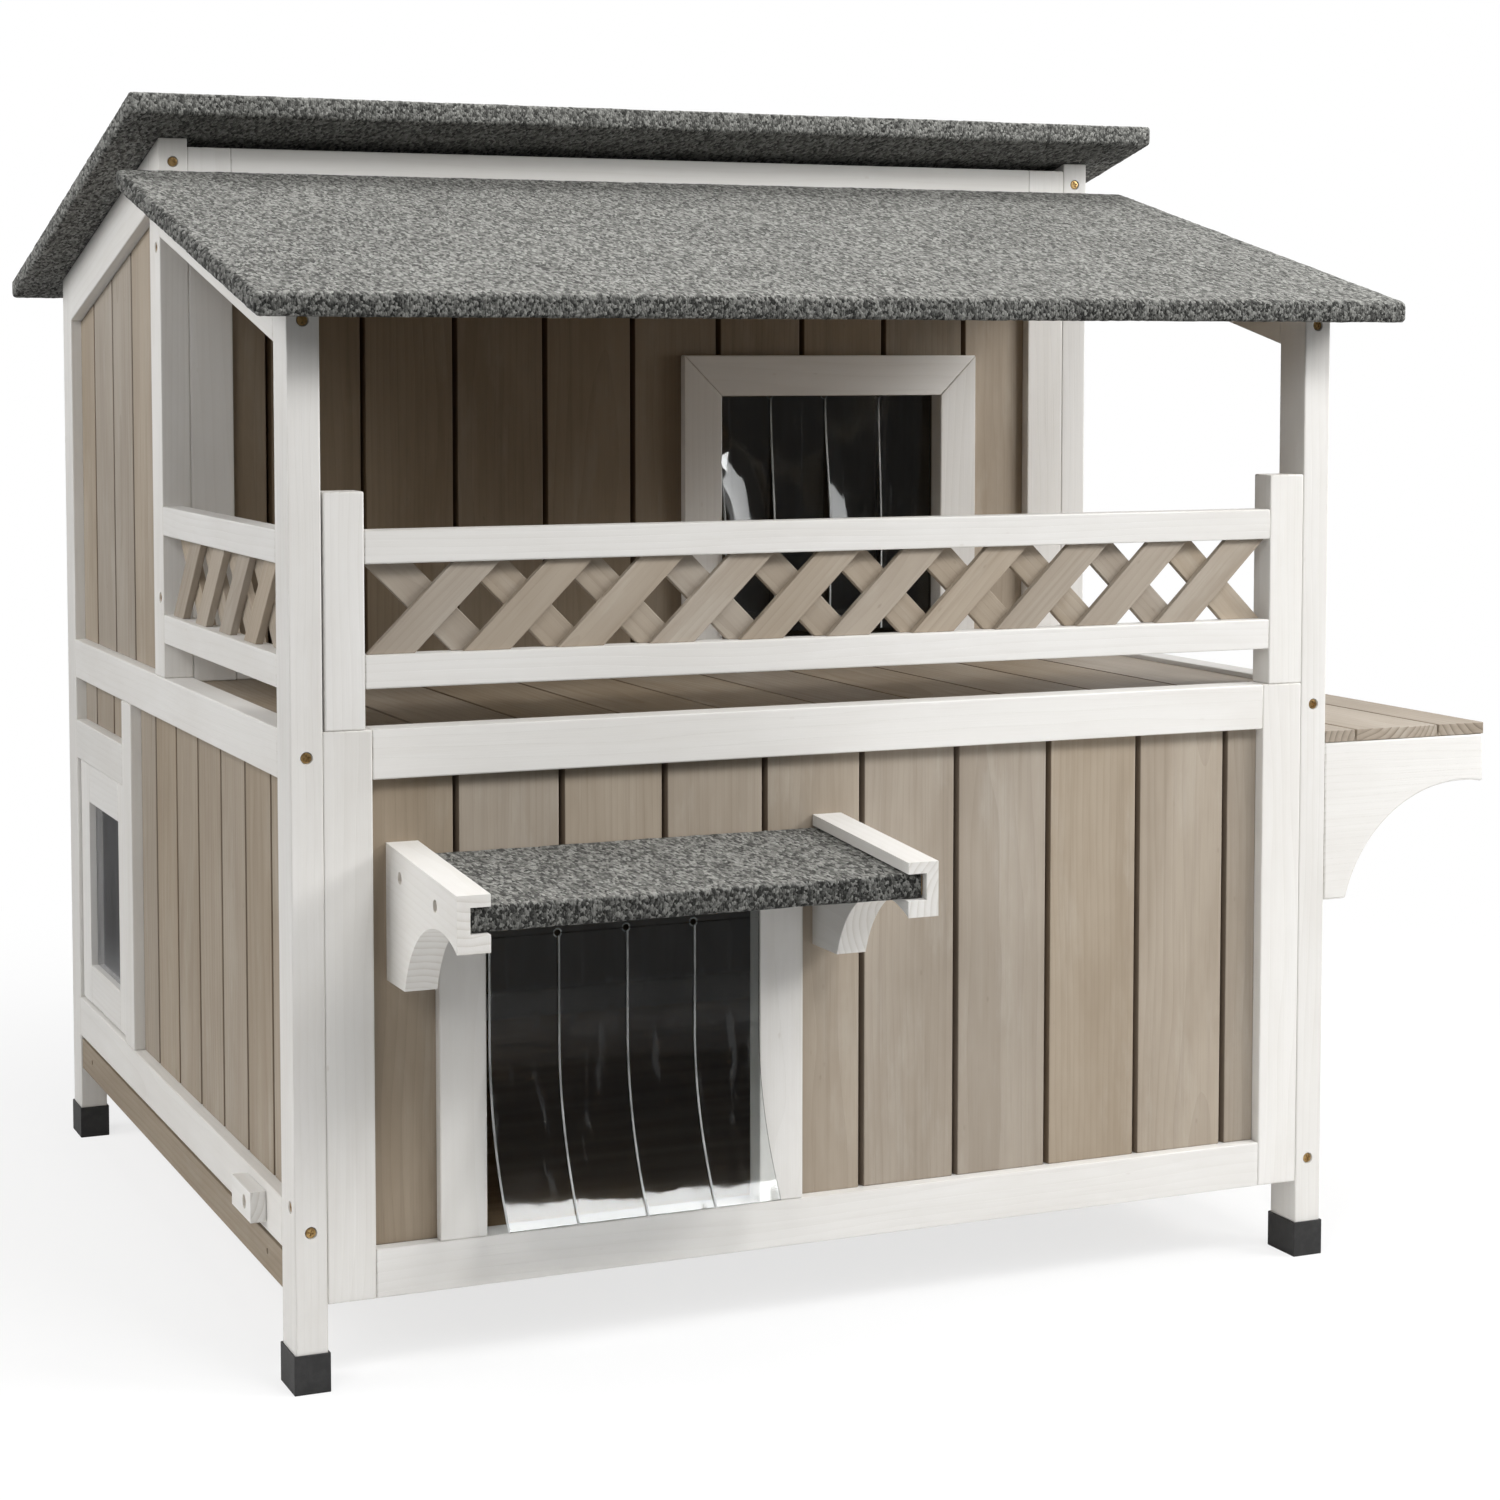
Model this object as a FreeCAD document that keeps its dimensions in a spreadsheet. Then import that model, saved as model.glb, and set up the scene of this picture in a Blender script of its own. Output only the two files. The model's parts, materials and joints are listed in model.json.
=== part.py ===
import FreeCAD, Part
import operator
import os
from types import SimpleNamespace

# Outdoor cat house: two storeys, balcony, side shelf, two felted roofs.
# Millimetres. X runs left to right, Y front to back, Z up from the floor.
# Places are worked out from the front left post's outer corner, then moved to the middle of the footprint.

doc = FreeCAD.newDocument("CatHouse")
sheet = doc.addObject("Spreadsheet::Sheet", "Sizes")

SIZES = [
    ("house_width", 720, "outside of the posts, left to right"),
    ("house_depth", 676, "outside of the posts, front to back"),
    ("stock_thick", 20, "thickness of frame timber"),
    ("stock_wide", 30, "width of frame timber"),
    ("board_thick", 8, "thickness of grooved boards"),
    ("board_recess", 8, "boards behind the frame face"),
    ("groove_half", 2, "half width of a groove between wall boards"),
    ("floor_groove", 1.2, "the same between floor or shelf boards"),
    ("board_wide", 67.7, "width of a grooved board"),
    ("board_past_door", 7, "front boards laid from this far right of the doorway"),
    ("board_least", 12, "narrowest cut board"),
    ("left_board_wide", 64, "width of a board low on the left side"),
    ("left_board_first", 47, "first board low on the left side"),
    ("rake_board_first", 32.3, "first board beside the upper room"),
    ("cap_high", 24, "height of a foot cap"),
    ("cap_wall", 1.2, "wall of a foot cap"),
    ("cap_floor", 3, "floor of a foot cap"),
    ("rail_low", 52.5, "underside of the front bottom rail"),
    ("deck_top", 395, "top of the rails around the upper floor"),
    ("left_rail_low", 82, "underside of the left bottom rail"),
    ("doorway_left", 120, "front doorway, left side"),
    ("doorway_width", 180, "front doorway, width"),
    ("doorway_top", 276, "front doorway, top"),
    ("head_high", 24, "height of the front doorway head"),
    ("lining", 10, "doorway frame let in between the boards"),
    ("corbel_gap", 10, "corbel to jamb"),
    ("corbel_top", 326, "corbel top at the wall"),
    ("corbel_drop", 10, "fall of the corbel top"),
    ("corbel_reach", 136, "corbel length from the boards"),
    ("corbel_foot", 243, "corbel underside at the wall"),
    ("corbel_nose", 33, "corbel front to the middle of its curve"),
    ("corbel_web", 27.4, "timber above the corbel curve"),
    ("corbel_curve", 70, "radius of the corbel curve"),
    ("slot_lip", 7.1, "timber above the canopy slot"),
    ("slot_wall", 8, "timber beside the canopy slot"),
    ("slot_high", 16, "height of the canopy slot"),
    ("canopy_thick", 15.6, "thickness of the felted canopy"),
    ("canopy_back", 3, "canopy edge behind the corbel front"),
    ("felt_thick", 2, "thickness of roofing felt"),
    ("felt_lap", 52, "felt turned in under a roof edge"),
    ("felt_round", 1.9, "rounding of the felt arrises"),
    ("newel_wide", 26, "width of a railing newel"),
    ("newel_top", 536, "top of a railing newel"),
    ("railing_low", 419, "underside of the lower railing rail"),
    ("railing_rail", 20, "height of a railing rail"),
    ("railing_gap", 54, "lattice height between the rails"),
    ("railing_thick", 15, "thickness of a railing rail"),
    ("slat_wide", 29.7, "slat width along the rail"),
    ("slat_thick", 5, "slat thickness"),
    ("slat_inset", 4, "lattice behind the rail face"),
    ("slat_pitch", 60, "spacing of the front slats"),
    ("side_slat_pitch", 65, "spacing of the left slats"),
    ("wall_face", 330, "front of the upper wall"),
    ("floor_drop", 3, "floor below the rails around it"),
    ("floor_thick", 10, "thickness of floor boards"),
    ("sill_high", 12, "height of the upper sill"),
    ("wall_drop", 1, "upper wall frame below the roof"),
    ("back_drop", 3, "back top rail below the roof"),
    ("hatch_from_right", 125, "upper doorway to the outside of the right post"),
    ("hatch_width", 180, "upper doorway, width"),
    ("hatch_top", 586, "upper doorway, top"),
    ("roof_side", 30, "roofs past the posts at each side"),
    ("roof_thick", 15, "upright thickness of a roof"),
    ("awning_over", 45.5, "awning in front of the posts"),
    ("awning_low", 636.3, "underside of the awning at its front edge"),
    ("awning_slope", 0.2415, "rise over run of the awning"),
    ("awning_gap", 1, "awning to the upper wall"),
    ("rafter_deep", 31, "upright depth of a rafter"),
    ("rafter_screw", 18.5, "screw below the top of a rafter"),
    ("roof_over", 47, "main roof in front of the upper wall"),
    ("roof_low", 775.4, "underside of the main roof at its front edge"),
    ("roof_slope", 0.255, "fall over run of the main roof"),
    ("roof_rear", 57, "main roof behind the back posts"),
    ("roof_rest", 0.2, "play between main roof and posts"),
    ("rake_deep", 40, "upright depth of a sloping top rail"),
    ("escape_front", 476, "escape doorway, front side"),
    ("escape_top", 302, "escape doorway, top"),
    ("leaf_gap", 1.5, "play around the escape door"),
    ("leaf_thick", 12, "thickness of the escape door"),
    ("leaf_inset", 3, "escape door behind the frame face"),
    ("leaf_wide", 30, "stiles and rails of the escape door"),
    ("pane_thick", 2, "thickness of the escape door pane"),
    ("pin_radius", 2, "pivot pin of the escape door"),
    ("pin_play", 0.05, "radial play on every pin"),
    ("pin_deep", 14, "pin in the door leaf"),
    ("pin_hold", 10, "pin in the frame"),
    ("pin_inset", 15, "pin to the edge of the leaf"),
    ("fascia_low", 56, "underside of the tray fascia"),
    ("fascia_gap", 1.5, "fascia to the rail above"),
    ("fascia_thick", 12, "thickness of the tray fascia"),
    ("fascia_screw", 38, "fascia screw hole to the end of the fascia"),
    ("fascia_hole", 4, "depth of that hole"),
    ("tray_thick", 6, "thickness of the tray floor"),
    ("tray_play", 1, "tray to the posts at its ends"),
    ("tray_stop", 3, "tray to the right bottom rail"),
    ("runner_wide", 25, "width of a tray runner"),
    ("runner_high", 11.7, "height of a tray runner"),
    ("runner_low", 46, "underside of a tray runner"),
    ("slide_play", 0.3, "play of sliding and turning faces"),
    ("button_long", 47, "length of the turn-button"),
    ("button_high", 19, "height of the turn-button"),
    ("button_thick", 9.7, "thickness of the turn-button"),
    ("button_from", 66, "turn-button, front end"),
    ("button_pivot", 16, "turn-button end to its screw"),
    ("sink_radius", 4.3, "counterbore of the turn-button"),
    ("sink_deep", 4, "depth of that counterbore"),
    ("button_head", 2.1, "thickness of the turn-button's screw head"),
    ("button_hold", 16, "that screw in the rail"),
    ("shelf_reach", 131, "shelf past the posts"),
    ("shelf_deep", 300, "shelf, front to back"),
    ("shelf_first", 25, "first shelf board"),
    ("shelf_top", 361, "top of the shelf"),
    ("bracket_high", 108, "height of a shelf bracket"),
    ("bracket_toe", 15.5, "bracket at the foot of its curve"),
    ("bracket_web", 32, "timber above the bracket curve"),
    ("bracket_curve", 99, "radius of the bracket curve"),
    ("hinge_from", 150, "roof hinge to the outside of the post"),
    ("knuckle_long", 17, "one knuckle of a roof hinge"),
    ("knuckle_radius", 3, "knuckle of a roof hinge"),
    ("knuckle_cut", 0.2, "play between knuckles"),
    ("knuckle_room", 0.3, "leaf to the other leaf's knuckle"),
    ("hinge_leaf", 26, "leaf of a roof hinge"),
    ("hinge_thick", 1.5, "thickness of a hinge leaf"),
    ("hinge_pin", 1.5, "pin of a roof hinge"),
    ("hinge_drop", 3.4, "hinge pin below the roof"),
    ("screw_head", 3.4, "radius of a screw head"),
    ("screw_proud", 1.2, "height of a screw head"),
    ("screw_shank", 1.75, "radius of a screw shank"),
    ("screw_long", 50, "length of a frame screw"),
    ("side_screw_long", 40, "length of a screw from post to stile"),
    ("side_screw_in", 10, "that screw to the front of its stile"),
    ("side_screw_up", 58.5, "that screw above the foot of a front stile"),
    ("mid_screw_up", 55, "that screw above the foot of a mid post"),
    ("mid_screw_down", 68, "that screw below the top of the upper wall"),
    ("rake_screw_front", 31.5, "screw above the underside of the sloping rail, front end"),
    ("rake_screw_back", 16, "the same at the back end"),
    ("canopy_screw", 1.9, "radius of a canopy screw"),
    ("canopy_screw_near", 28, "wall to the first canopy screw"),
    ("canopy_screw_far", 96, "wall to the second canopy screw"),
    ("canopy_screw_sunk", 3, "canopy screw below the corbel's face"),
    ("sheet_thick", 1, "curtain sheet"),
    ("sheet_side", 1, "curtain to the side of its doorway"),
    ("slit_wide", 0.8, "slit between curtain strips"),
    ("strip_play", 0.3, "curtain strip under its head strip"),
    ("curtain_head", 20, "height of a curtain head strip"),
    ("slit_below", 10.8, "doorway top to the end of a front slit"),
    ("strip_drop", 64.2, "straight part of a front strip"),
    ("curl_radius", 181, "curve of a front strip"),
    ("curl_angle", 36, "turn of a front strip, in degrees"),
    ("hatch_strip", 176, "length of an upper strip"),
]

for row, (alias, number, note) in enumerate(SIZES, start=1):
    sheet.set(f"A{row}", note)
    sheet.set(f"B{row}", str(number))
    sheet.setAlias(f"B{row}", alias)
doc.recompute()


# Sizes that carry their driving expression

SIGNS = {"+": operator.add, "-": operator.sub, "*": operator.mul, "/": operator.truediv}


class Size:
    """A number together with the sheet expression it comes from."""

    def __init__(self, text, value):
        self.text = text
        self.value = value

    def __add__(self, other):
        return join(self, "+", other)

    def __radd__(self, other):
        return join(other, "+", self)

    def __sub__(self, other):
        return join(self, "-", other)

    def __rsub__(self, other):
        return join(other, "-", self)

    def __mul__(self, other):
        return join(self, "*", other)

    def __rmul__(self, other):
        return join(other, "*", self)

    def __truediv__(self, other):
        return join(self, "/", other)

    def __neg__(self):
        return join(0, "-", self)


def as_size(item):
    if isinstance(item, Size):
        return item
    return Size(repr(float(item)), float(item))


def join(left, sign, right):
    left = as_size(left)
    right = as_size(right)
    return Size(f"({left.text} {sign} {right.text})", SIGNS[sign](left.value, right.value))


d = SimpleNamespace()
for alias, number, note in SIZES:
    setattr(d, alias, Size(f"Sizes.{alias}", float(sheet.get(alias))))


# Lines that several pieces share

wide = d.house_width
deep = d.house_depth
thick = d.stock_thick
stock = d.stock_wide
board_face = d.board_recess
board_back = d.board_recess + d.board_thick
front_rail_top = d.rail_low + stock
deck_low = d.deck_top - stock
left_rail_top = d.left_rail_low + stock
floor_top = d.deck_top - d.floor_drop
floor_low = floor_top - d.floor_thick
wall_back = d.wall_face + thick
wall_boards = d.wall_face + d.board_recess
wall_boards_back = wall_boards + d.board_thick
mid_back = d.wall_face + stock
back_post = deep - stock
back_face = deep - thick
doorway_right = d.doorway_left + d.doorway_width
hatch_right = wide - d.hatch_from_right
hatch_left = hatch_right - d.hatch_width
sill_top = floor_top + d.sill_high
awning_front = -d.awning_over
awning_back = d.wall_face - d.awning_gap
roof_front = d.wall_face - d.roof_over
roof_back = deep + d.roof_rear
roof_left = -d.roof_side
roof_right = wide + d.roof_side
corbel_front = board_face - d.corbel_reach
shelf_end = wide + d.shelf_reach
shelf_low = d.shelf_top - d.board_thick

ORIGIN = ((roof_left + shelf_end) / 2, (corbel_front + roof_back) / 2, 0)


def awning_under(y):
    return d.awning_low + d.awning_slope * (y - awning_front)


def roof_under(y):
    return d.roof_low - d.roof_slope * (y - roof_front)


def corbel_line(y):
    return d.corbel_top - d.corbel_drop * (board_face - y) / d.corbel_reach


# Shapes

AXES = {"x": FreeCAD.Vector(1, 0, 0), "y": FreeCAD.Vector(0, 1, 0), "z": FreeCAD.Vector(0, 0, 1)}
ROD_TURN = {
    "x": FreeCAD.Rotation(FreeCAD.Vector(0, 1, 0), 90),
    "y": FreeCAD.Rotation(FreeCAD.Vector(1, 0, 0), -90),
    "z": FreeCAD.Rotation(),
}
PAST = 1  # cutters run this far past the face they cut
nodes = []


def bind(item, name, size):
    item.setExpression(name, as_size(size).text)


def place(item, corner, turn):
    item.Placement = FreeCAD.Placement(FreeCAD.Vector(), turn)
    for axis, at, origin in zip("xyz", corner, ORIGIN):
        bind(item, "Placement.Base." + axis, as_size(at) - origin)


def block(x, y, z):
    item = doc.addObject("Part::Box", "Block")
    for name, (low, high) in zip(("Length", "Width", "Height"), (x, y, z)):
        bind(item, name, high - low)
    place(item, (x[0], y[0], z[0]), FreeCAD.Rotation())
    return item


def bar(along, start, end, across, at_start, at_end, depth):
    """A bar whose span on one axis moves from at_start to at_end on the way along another."""
    item = doc.addObject("Part::Wedge", "Bar")
    side = AXES[across].cross(AXES[along])
    low, high = depth
    if side.x + side.y + side.z < 0:
        low, high = -high, -low
    spans = {
        "Xmin": at_start[0], "Xmax": at_start[1], "X2min": at_end[0], "X2max": at_end[1],
        "Ymin": start, "Ymax": end,
        "Zmin": low, "Zmax": high, "Z2min": low, "Z2max": high,
    }
    for name, size in spans.items():
        bind(item, name, size)
    u, v = AXES[across], AXES[along]
    frame = FreeCAD.Matrix(u.x, v.x, side.x, 0, u.y, v.y, side.y, 0, u.z, v.z, side.z, 0, 0, 0, 0, 1)
    place(item, (0, 0, 0), FreeCAD.Rotation(frame))
    return item


def rod(axis, centre, radius, low, high):
    item = doc.addObject("Part::Cylinder", "Rod")
    bind(item, "Radius", radius)
    bind(item, "Height", high - low)
    corner = [low if name == axis else at for name, at in zip("xyz", centre)]
    place(item, corner, ROD_TURN[axis])
    return item


def together(kind, prop, items):
    item = doc.addObject(kind, "Group")
    setattr(item, prop, items)
    return item


def fuse(*items):
    return together("Part::MultiFuse", "Shapes", list(items))


def cut(base, *tools):
    item = doc.addObject("Part::Cut", "Cut")
    item.Base = base
    item.Tool = tools[0] if len(tools) == 1 else fuse(*tools)
    return item


def node(label, *items):
    item = items[0] if len(items) == 1 else together("Part::Compound", "Links", list(items))
    item.Label = label
    nodes.append(item)
    return item


def lay(low, high, first, pitch):
    """Edges of boards laid from low to high, with no board cut narrower than the least."""
    edges = [low]
    edge = low + first
    while as_size(high - edge).value > d.board_least.value:
        edges.append(edge)
        edge = edge + pitch
    return edges + [high]


def lay_back(low, high, pitch):
    """The same, laid from high down to low."""
    edges = [high]
    edge = high - pitch
    while as_size(edge - low).value > d.board_least.value:
        edges.append(edge)
        edge = edge - pitch
    return [low] + edges[::-1]


def cut_at(edges, split):
    """The edges below a split and those above it, each with the split as an edge."""
    below = [edge for edge in edges if as_size(split - edge).value > 0]
    above = [edge for edge in edges if as_size(edge - split).value > 0]
    return below + [split], [split] + above


def boarding(along, face, back, across, edges, depth, open_ends=(False, False), half=d.groove_half):
    """Boards side by side, with a groove between neighbours on the face side."""
    items = []
    last = len(edges) - 2
    for index in range(last + 1):
        low, high = edges[index], edges[index + 1]
        face_low = low + half if index > 0 or open_ends[0] else low
        face_high = high - half if index < last or open_ends[1] else high
        if face.value < back.value:
            items.append(bar(along, face, back, across, (face_low, face_high), (low, high), depth))
        else:
            items.append(bar(along, back, face, across, (low, high), (face_low, face_high), depth))
    return items


def both_sides(make):
    """The same piece at the left posts and at the right posts."""
    return make((0, thick)), make((wide - thick, wide))


# Posts and foot caps

CORNERS = [(0, 0), (wide - thick, 0), (0, back_post), (wide - thick, back_post)]


def front_post(x):
    low = d.cap_floor
    return bar("y", 0, stock, "z", (low, awning_under(0)), (low, awning_under(stock)), x)


def back_post_at(x):
    low = d.cap_floor
    ends = [(low, roof_under(y) - d.roof_rest) for y in (back_post, deep)]
    return bar("y", back_post, deep, "z", *ends, x)


def mid_post(x):
    ends = [(d.deck_top, roof_under(y) - d.roof_rest) for y in (d.wall_face, mid_back)]
    return bar("y", d.wall_face, mid_back, "z", *ends, x)


def foot_cap(x, y):
    wall = d.cap_wall
    outer = block((x - wall, x + thick + wall), (y - wall, y + stock + wall), (0, d.cap_high))
    pocket = block((x, x + thick), (y, y + stock), (d.cap_floor, d.cap_high + PAST))
    return cut(outer, pocket)


for make, label in ((front_post, "post_front"), (back_post_at, "post_back"), (mid_post, "post_mid")):
    left, right = both_sides(make)
    node(label + "_left", left)
    node(label + "_right", right)
node("foot_caps", *(foot_cap(x, y) for x, y in CORNERS))

# Front panel and doorway

inner = (thick + stock, wide - thick - stock)
front = (0, thick)
front_boards_z = (front_rail_top, deck_low)


def stiles(y, z):
    return block((thick, thick + stock), y, z), block((wide - thick - stock, wide - thick), y, z)


node("front_stiles", *stiles(front, (d.rail_low, d.deck_top)))
front_rail_zs = ((d.rail_low, front_rail_top), (deck_low, d.deck_top))
node("front_rails", *(block(inner, front, z) for z in front_rail_zs))

board_start = doorway_right + d.board_past_door
left_run, over_run = cut_at(lay_back(inner[0], board_start, d.board_wide), d.doorway_left)
right_run = lay(board_start, inner[1], d.board_wide, d.board_wide)
front_panel = together(
    "Part::Compound",
    "Links",
    boarding("y", board_face, board_back, "x", left_run, front_boards_z)
    + boarding("y", board_face, board_back, "x", over_run, (d.doorway_top, deck_low), (False, True))
    + boarding("y", board_face, board_back, "x", right_run, front_boards_z, (True, False)),
)
door_x = (d.doorway_left, doorway_right)
lining_z = (front_rail_top, d.doorway_top + d.lining)
head_lining_z = (d.doorway_top, lining_z[1])


def door_linings(y):
    """The inner parts of the doorway frame, which line the cut edges of the boards."""
    left = block((door_x[0] - d.lining, door_x[0]), y, lining_z)
    right = block((door_x[1], door_x[1] + d.lining), y, lining_z)
    return left, right, block(door_x, y, head_lining_z)


node("front_boards", cut(front_panel, *door_linings((board_face - PAST, board_back + PAST))))

planted = (0, board_face)
head_top = d.doorway_top + d.head_high
door_frame = (
    block((door_x[0] - stock, door_x[0]), planted, (front_rail_top, head_top)),
    block((door_x[1], door_x[1] + stock), planted, (front_rail_top, head_top)),
    block(door_x, planted, (d.doorway_top, head_top)),
)
door_lined = door_linings((0, board_back))
node("doorway_frame", *(fuse(face, lining) for face, lining in zip(door_frame, door_lined)))

# Door canopy on two corbels

corbel_left = d.doorway_left - stock - d.corbel_gap - thick
corbel_right = doorway_right + stock + d.corbel_gap + thick
canopy_front = corbel_front + d.canopy_back
canopy_x = (corbel_left + d.slot_wall + d.slide_play, corbel_right - d.slot_wall - d.slide_play)
CANOPY_SCREWS = (d.canopy_screw_near, d.canopy_screw_far)


def canopy_low(y):
    return corbel_line(y) - d.slot_lip - d.slot_high


def canopy_slab(front_y, x, low, high):
    ends = [(canopy_low(y) + low, canopy_low(y) + high) for y in (front_y, board_face)]
    return bar("y", front_y, board_face, "z", *ends, x)


def canopy_screw_at(out):
    y = board_face - out
    return y, canopy_low(y) + d.slot_high / 2


def corbel(outer_x, inner_x, slot_x):
    ends = [(d.corbel_foot, corbel_line(y)) for y in (corbel_front, board_face)]
    x = (outer_x, inner_x) if outer_x.value < inner_x.value else (inner_x, outer_x)
    body = bar("y", corbel_front, board_face, "z", *ends, x)
    curve_y = corbel_front + d.corbel_nose
    curve_z = corbel_line(curve_y) - d.corbel_web - d.corbel_curve
    curve = rod("x", (0, curve_y, curve_z), d.corbel_curve, x[0] - PAST, x[1] + PAST)
    runs = (corbel_front - PAST, board_face + PAST)
    slot_ends = [(canopy_low(y), canopy_low(y) + d.slot_high) for y in runs]
    slot = bar("y", *runs, "z", *slot_ends, slot_x)
    holes = [
        rod("x", (0, *canopy_screw_at(out)), d.canopy_screw + d.pin_play, x[0] - PAST, x[1] + PAST)
        for out in CANOPY_SCREWS
    ]
    return cut(body, curve, slot, *holes)


node(
    "door_corbels",
    corbel(corbel_left, corbel_left + thick, (corbel_left + d.slot_wall, corbel_left + thick + PAST)),
    corbel(corbel_right, corbel_right - thick, (corbel_right - thick - PAST, corbel_right - d.slot_wall)),
)
canopy_core = (d.felt_thick, d.canopy_thick - d.felt_thick)
node("canopy_board", canopy_slab(canopy_front + d.felt_thick, canopy_x, *canopy_core))
canopy_cover = canopy_slab(canopy_front, canopy_x, 0, d.canopy_thick)
node("canopy_felt", cut(canopy_cover, canopy_slab(canopy_front + d.felt_thick, canopy_x, *canopy_core)))

# Balcony railing

rail_one = (d.railing_low, d.railing_low + d.railing_rail)
lattice = (rail_one[1], rail_one[1] + d.railing_gap)
rail_two = (lattice[1], lattice[1] + d.railing_rail)
newel_right = wide - thick - d.newel_wide
rail_x = (thick + d.newel_wide, newel_right)
rail_depth = (0, d.railing_thick)
layer_one = (d.slat_inset, d.slat_inset + d.slat_thick)
layer_two = (layer_one[1], layer_one[1] + d.slat_thick)


def slats(across, run, pitch, lean, depth):
    """A row of 45 degree slats between the two rails, centred on its run."""
    reach = d.railing_gap + d.slat_wide
    spare = run[1] - run[0] - reach
    gaps = int(spare.value / pitch.value)
    items = []
    for index in range(gaps + 1):
        low = run[0] + (spare - pitch * gaps) / 2 + pitch * index
        feet = (low, low + d.slat_wide)
        tops = (low + d.railing_gap, low + reach)
        at_start, at_end = (feet, tops) if lean > 0 else (tops, feet)
        items.append(bar("z", *lattice, across, at_start, at_end, depth))
    return items


newel_z = (d.deck_top, d.newel_top)
node(
    "railing_newels",
    block((thick, thick + d.newel_wide), front, newel_z),
    block((newel_right, wide - thick), front, newel_z),
)
node("railing_rails", block(rail_x, rail_depth, rail_one), block(rail_x, rail_depth, rail_two))
node(
    "railing_lattice",
    *slats("x", rail_x, d.slat_pitch, 1, layer_one),
    *slats("x", rail_x, d.slat_pitch, -1, layer_two),
)
side_run = (stock, d.wall_face)
node("side_railing_rails", block(rail_depth, side_run, rail_one), block(rail_depth, side_run, rail_two))
node(
    "side_lattice",
    *slats("y", side_run, d.side_slat_pitch, -1, layer_one),
    *slats("y", side_run, d.side_slat_pitch, 1, layer_two),
)

# Upper floor

floor_x = (thick, wide - thick)
floor_edges = lay(*floor_x, d.board_wide, d.board_wide)
floor_planes = ("z", floor_top, floor_low, "x")
node("floor_boards", *boarding(*floor_planes, floor_edges, (thick, back_face), half=d.floor_groove))
bearer_z = (floor_low - thick, floor_low)
bearer_ys = (thick, d.wall_face, back_face - thick)
node("floor_bearers", *(block(floor_x, (y, y + thick), bearer_z) for y in bearer_ys))

# Rails of the two sides

side_y = (stock, back_post)
upper_y = (mid_back, back_post)


def rake_low(y):
    return roof_under(y) - d.roof_rest - d.rake_deep


def rake_rail(x):
    ends = [(rake_low(y), roof_under(y) - d.roof_rest) for y in upper_y]
    return bar("y", *upper_y, "z", *ends, x)


node("side_floor_rails", *both_sides(lambda x: block(x, side_y, (deck_low, d.deck_top))))
node("side_rake_rails", *both_sides(rake_rail))
node("left_bottom_rail", block((0, thick), side_y, (d.left_rail_low, left_rail_top)))
node("right_bottom_rail", block((wide - thick, wide), side_y, (d.rail_low, front_rail_top)))

# Boards of the two sides, with the escape doorway on the left

left_x = (board_face, board_back)
right_x = (wide - board_face, wide - board_back)
stile_y = (d.escape_front - stock, d.escape_front)
escape_head = (d.escape_top, d.escape_top + stock)


def upper_boards(face, back):
    """Boards that end at the sloping top rail."""
    edges = lay(*upper_y, d.rake_board_first, d.board_wide)
    boards = boarding("x", face, back, "y", edges, (d.deck_top, d.roof_low))
    panel = together("Part::Compound", "Links", boards)
    run = (mid_back - PAST, back_post + PAST)
    above = [(rake_low(y), d.roof_low + stock) for y in run]
    spare = bar("y", *run, "z", *above, (0, wide))
    return cut(panel, spare)


left_edges = lay(stock, stile_y[0], d.left_board_first, d.left_board_wide)
over_door_edges = lay(d.escape_front, back_post, d.left_board_wide, d.left_board_wide)
right_edges = lay(*side_y, d.board_wide, d.board_wide)
node(
    "left_boards",
    *boarding("x", *left_x, "y", left_edges, (left_rail_top, deck_low)),
    *boarding("x", *left_x, "y", over_door_edges, (escape_head[1], deck_low)),
    upper_boards(*left_x),
)
node(
    "right_boards",
    *boarding("x", *right_x, "y", right_edges, (front_rail_top, deck_low)),
    upper_boards(*right_x),
)
node(
    "escape_surround",
    block((0, thick), stile_y, (left_rail_top, deck_low)),
    block((0, thick), (d.escape_front, back_post), escape_head),
)

# Back panel

back_y = (back_face, deep)
back_top = roof_under(deep) - d.back_drop
back_rail_zs = ((d.rail_low, front_rail_top), (deck_low, d.deck_top), (back_top - stock, back_top))
back_face_y = deep - board_face
back_inner_y = deep - board_back
back_edges = lay(*floor_x, d.board_wide, d.board_wide)
node("back_rails", *(block(floor_x, back_y, z) for z in back_rail_zs))
node(
    "back_boards",
    *boarding("y", back_face_y, back_inner_y, "x", back_edges, (front_rail_top, deck_low)),
    *boarding("y", back_face_y, back_inner_y, "x", back_edges, (d.deck_top, back_top - stock)),
)

# Side shelf

bracket_z = (shelf_low - d.bracket_high, shelf_low)


def bracket(back_x, y):
    body = block((back_x, shelf_end), y, bracket_z)
    curve_x = wide + d.bracket_toe + d.bracket_curve
    curve_z = shelf_low - d.bracket_web - d.bracket_curve
    return cut(body, rod("y", (curve_x, 0, curve_z), d.bracket_curve, y[0] - PAST, y[1] + PAST))


shelf_edges = lay(wide, shelf_end, d.shelf_first, d.board_wide)
shelf_planes = ("z", d.shelf_top, shelf_low, "x")
node("shelf_boards", *boarding(*shelf_planes, shelf_edges, (0, d.shelf_deep), half=d.floor_groove))
node(
    "shelf_brackets",
    bracket(wide, front),
    bracket(wide - board_face, (d.shelf_deep - thick, d.shelf_deep)),
)

# Upper front wall and its doorway

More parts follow.
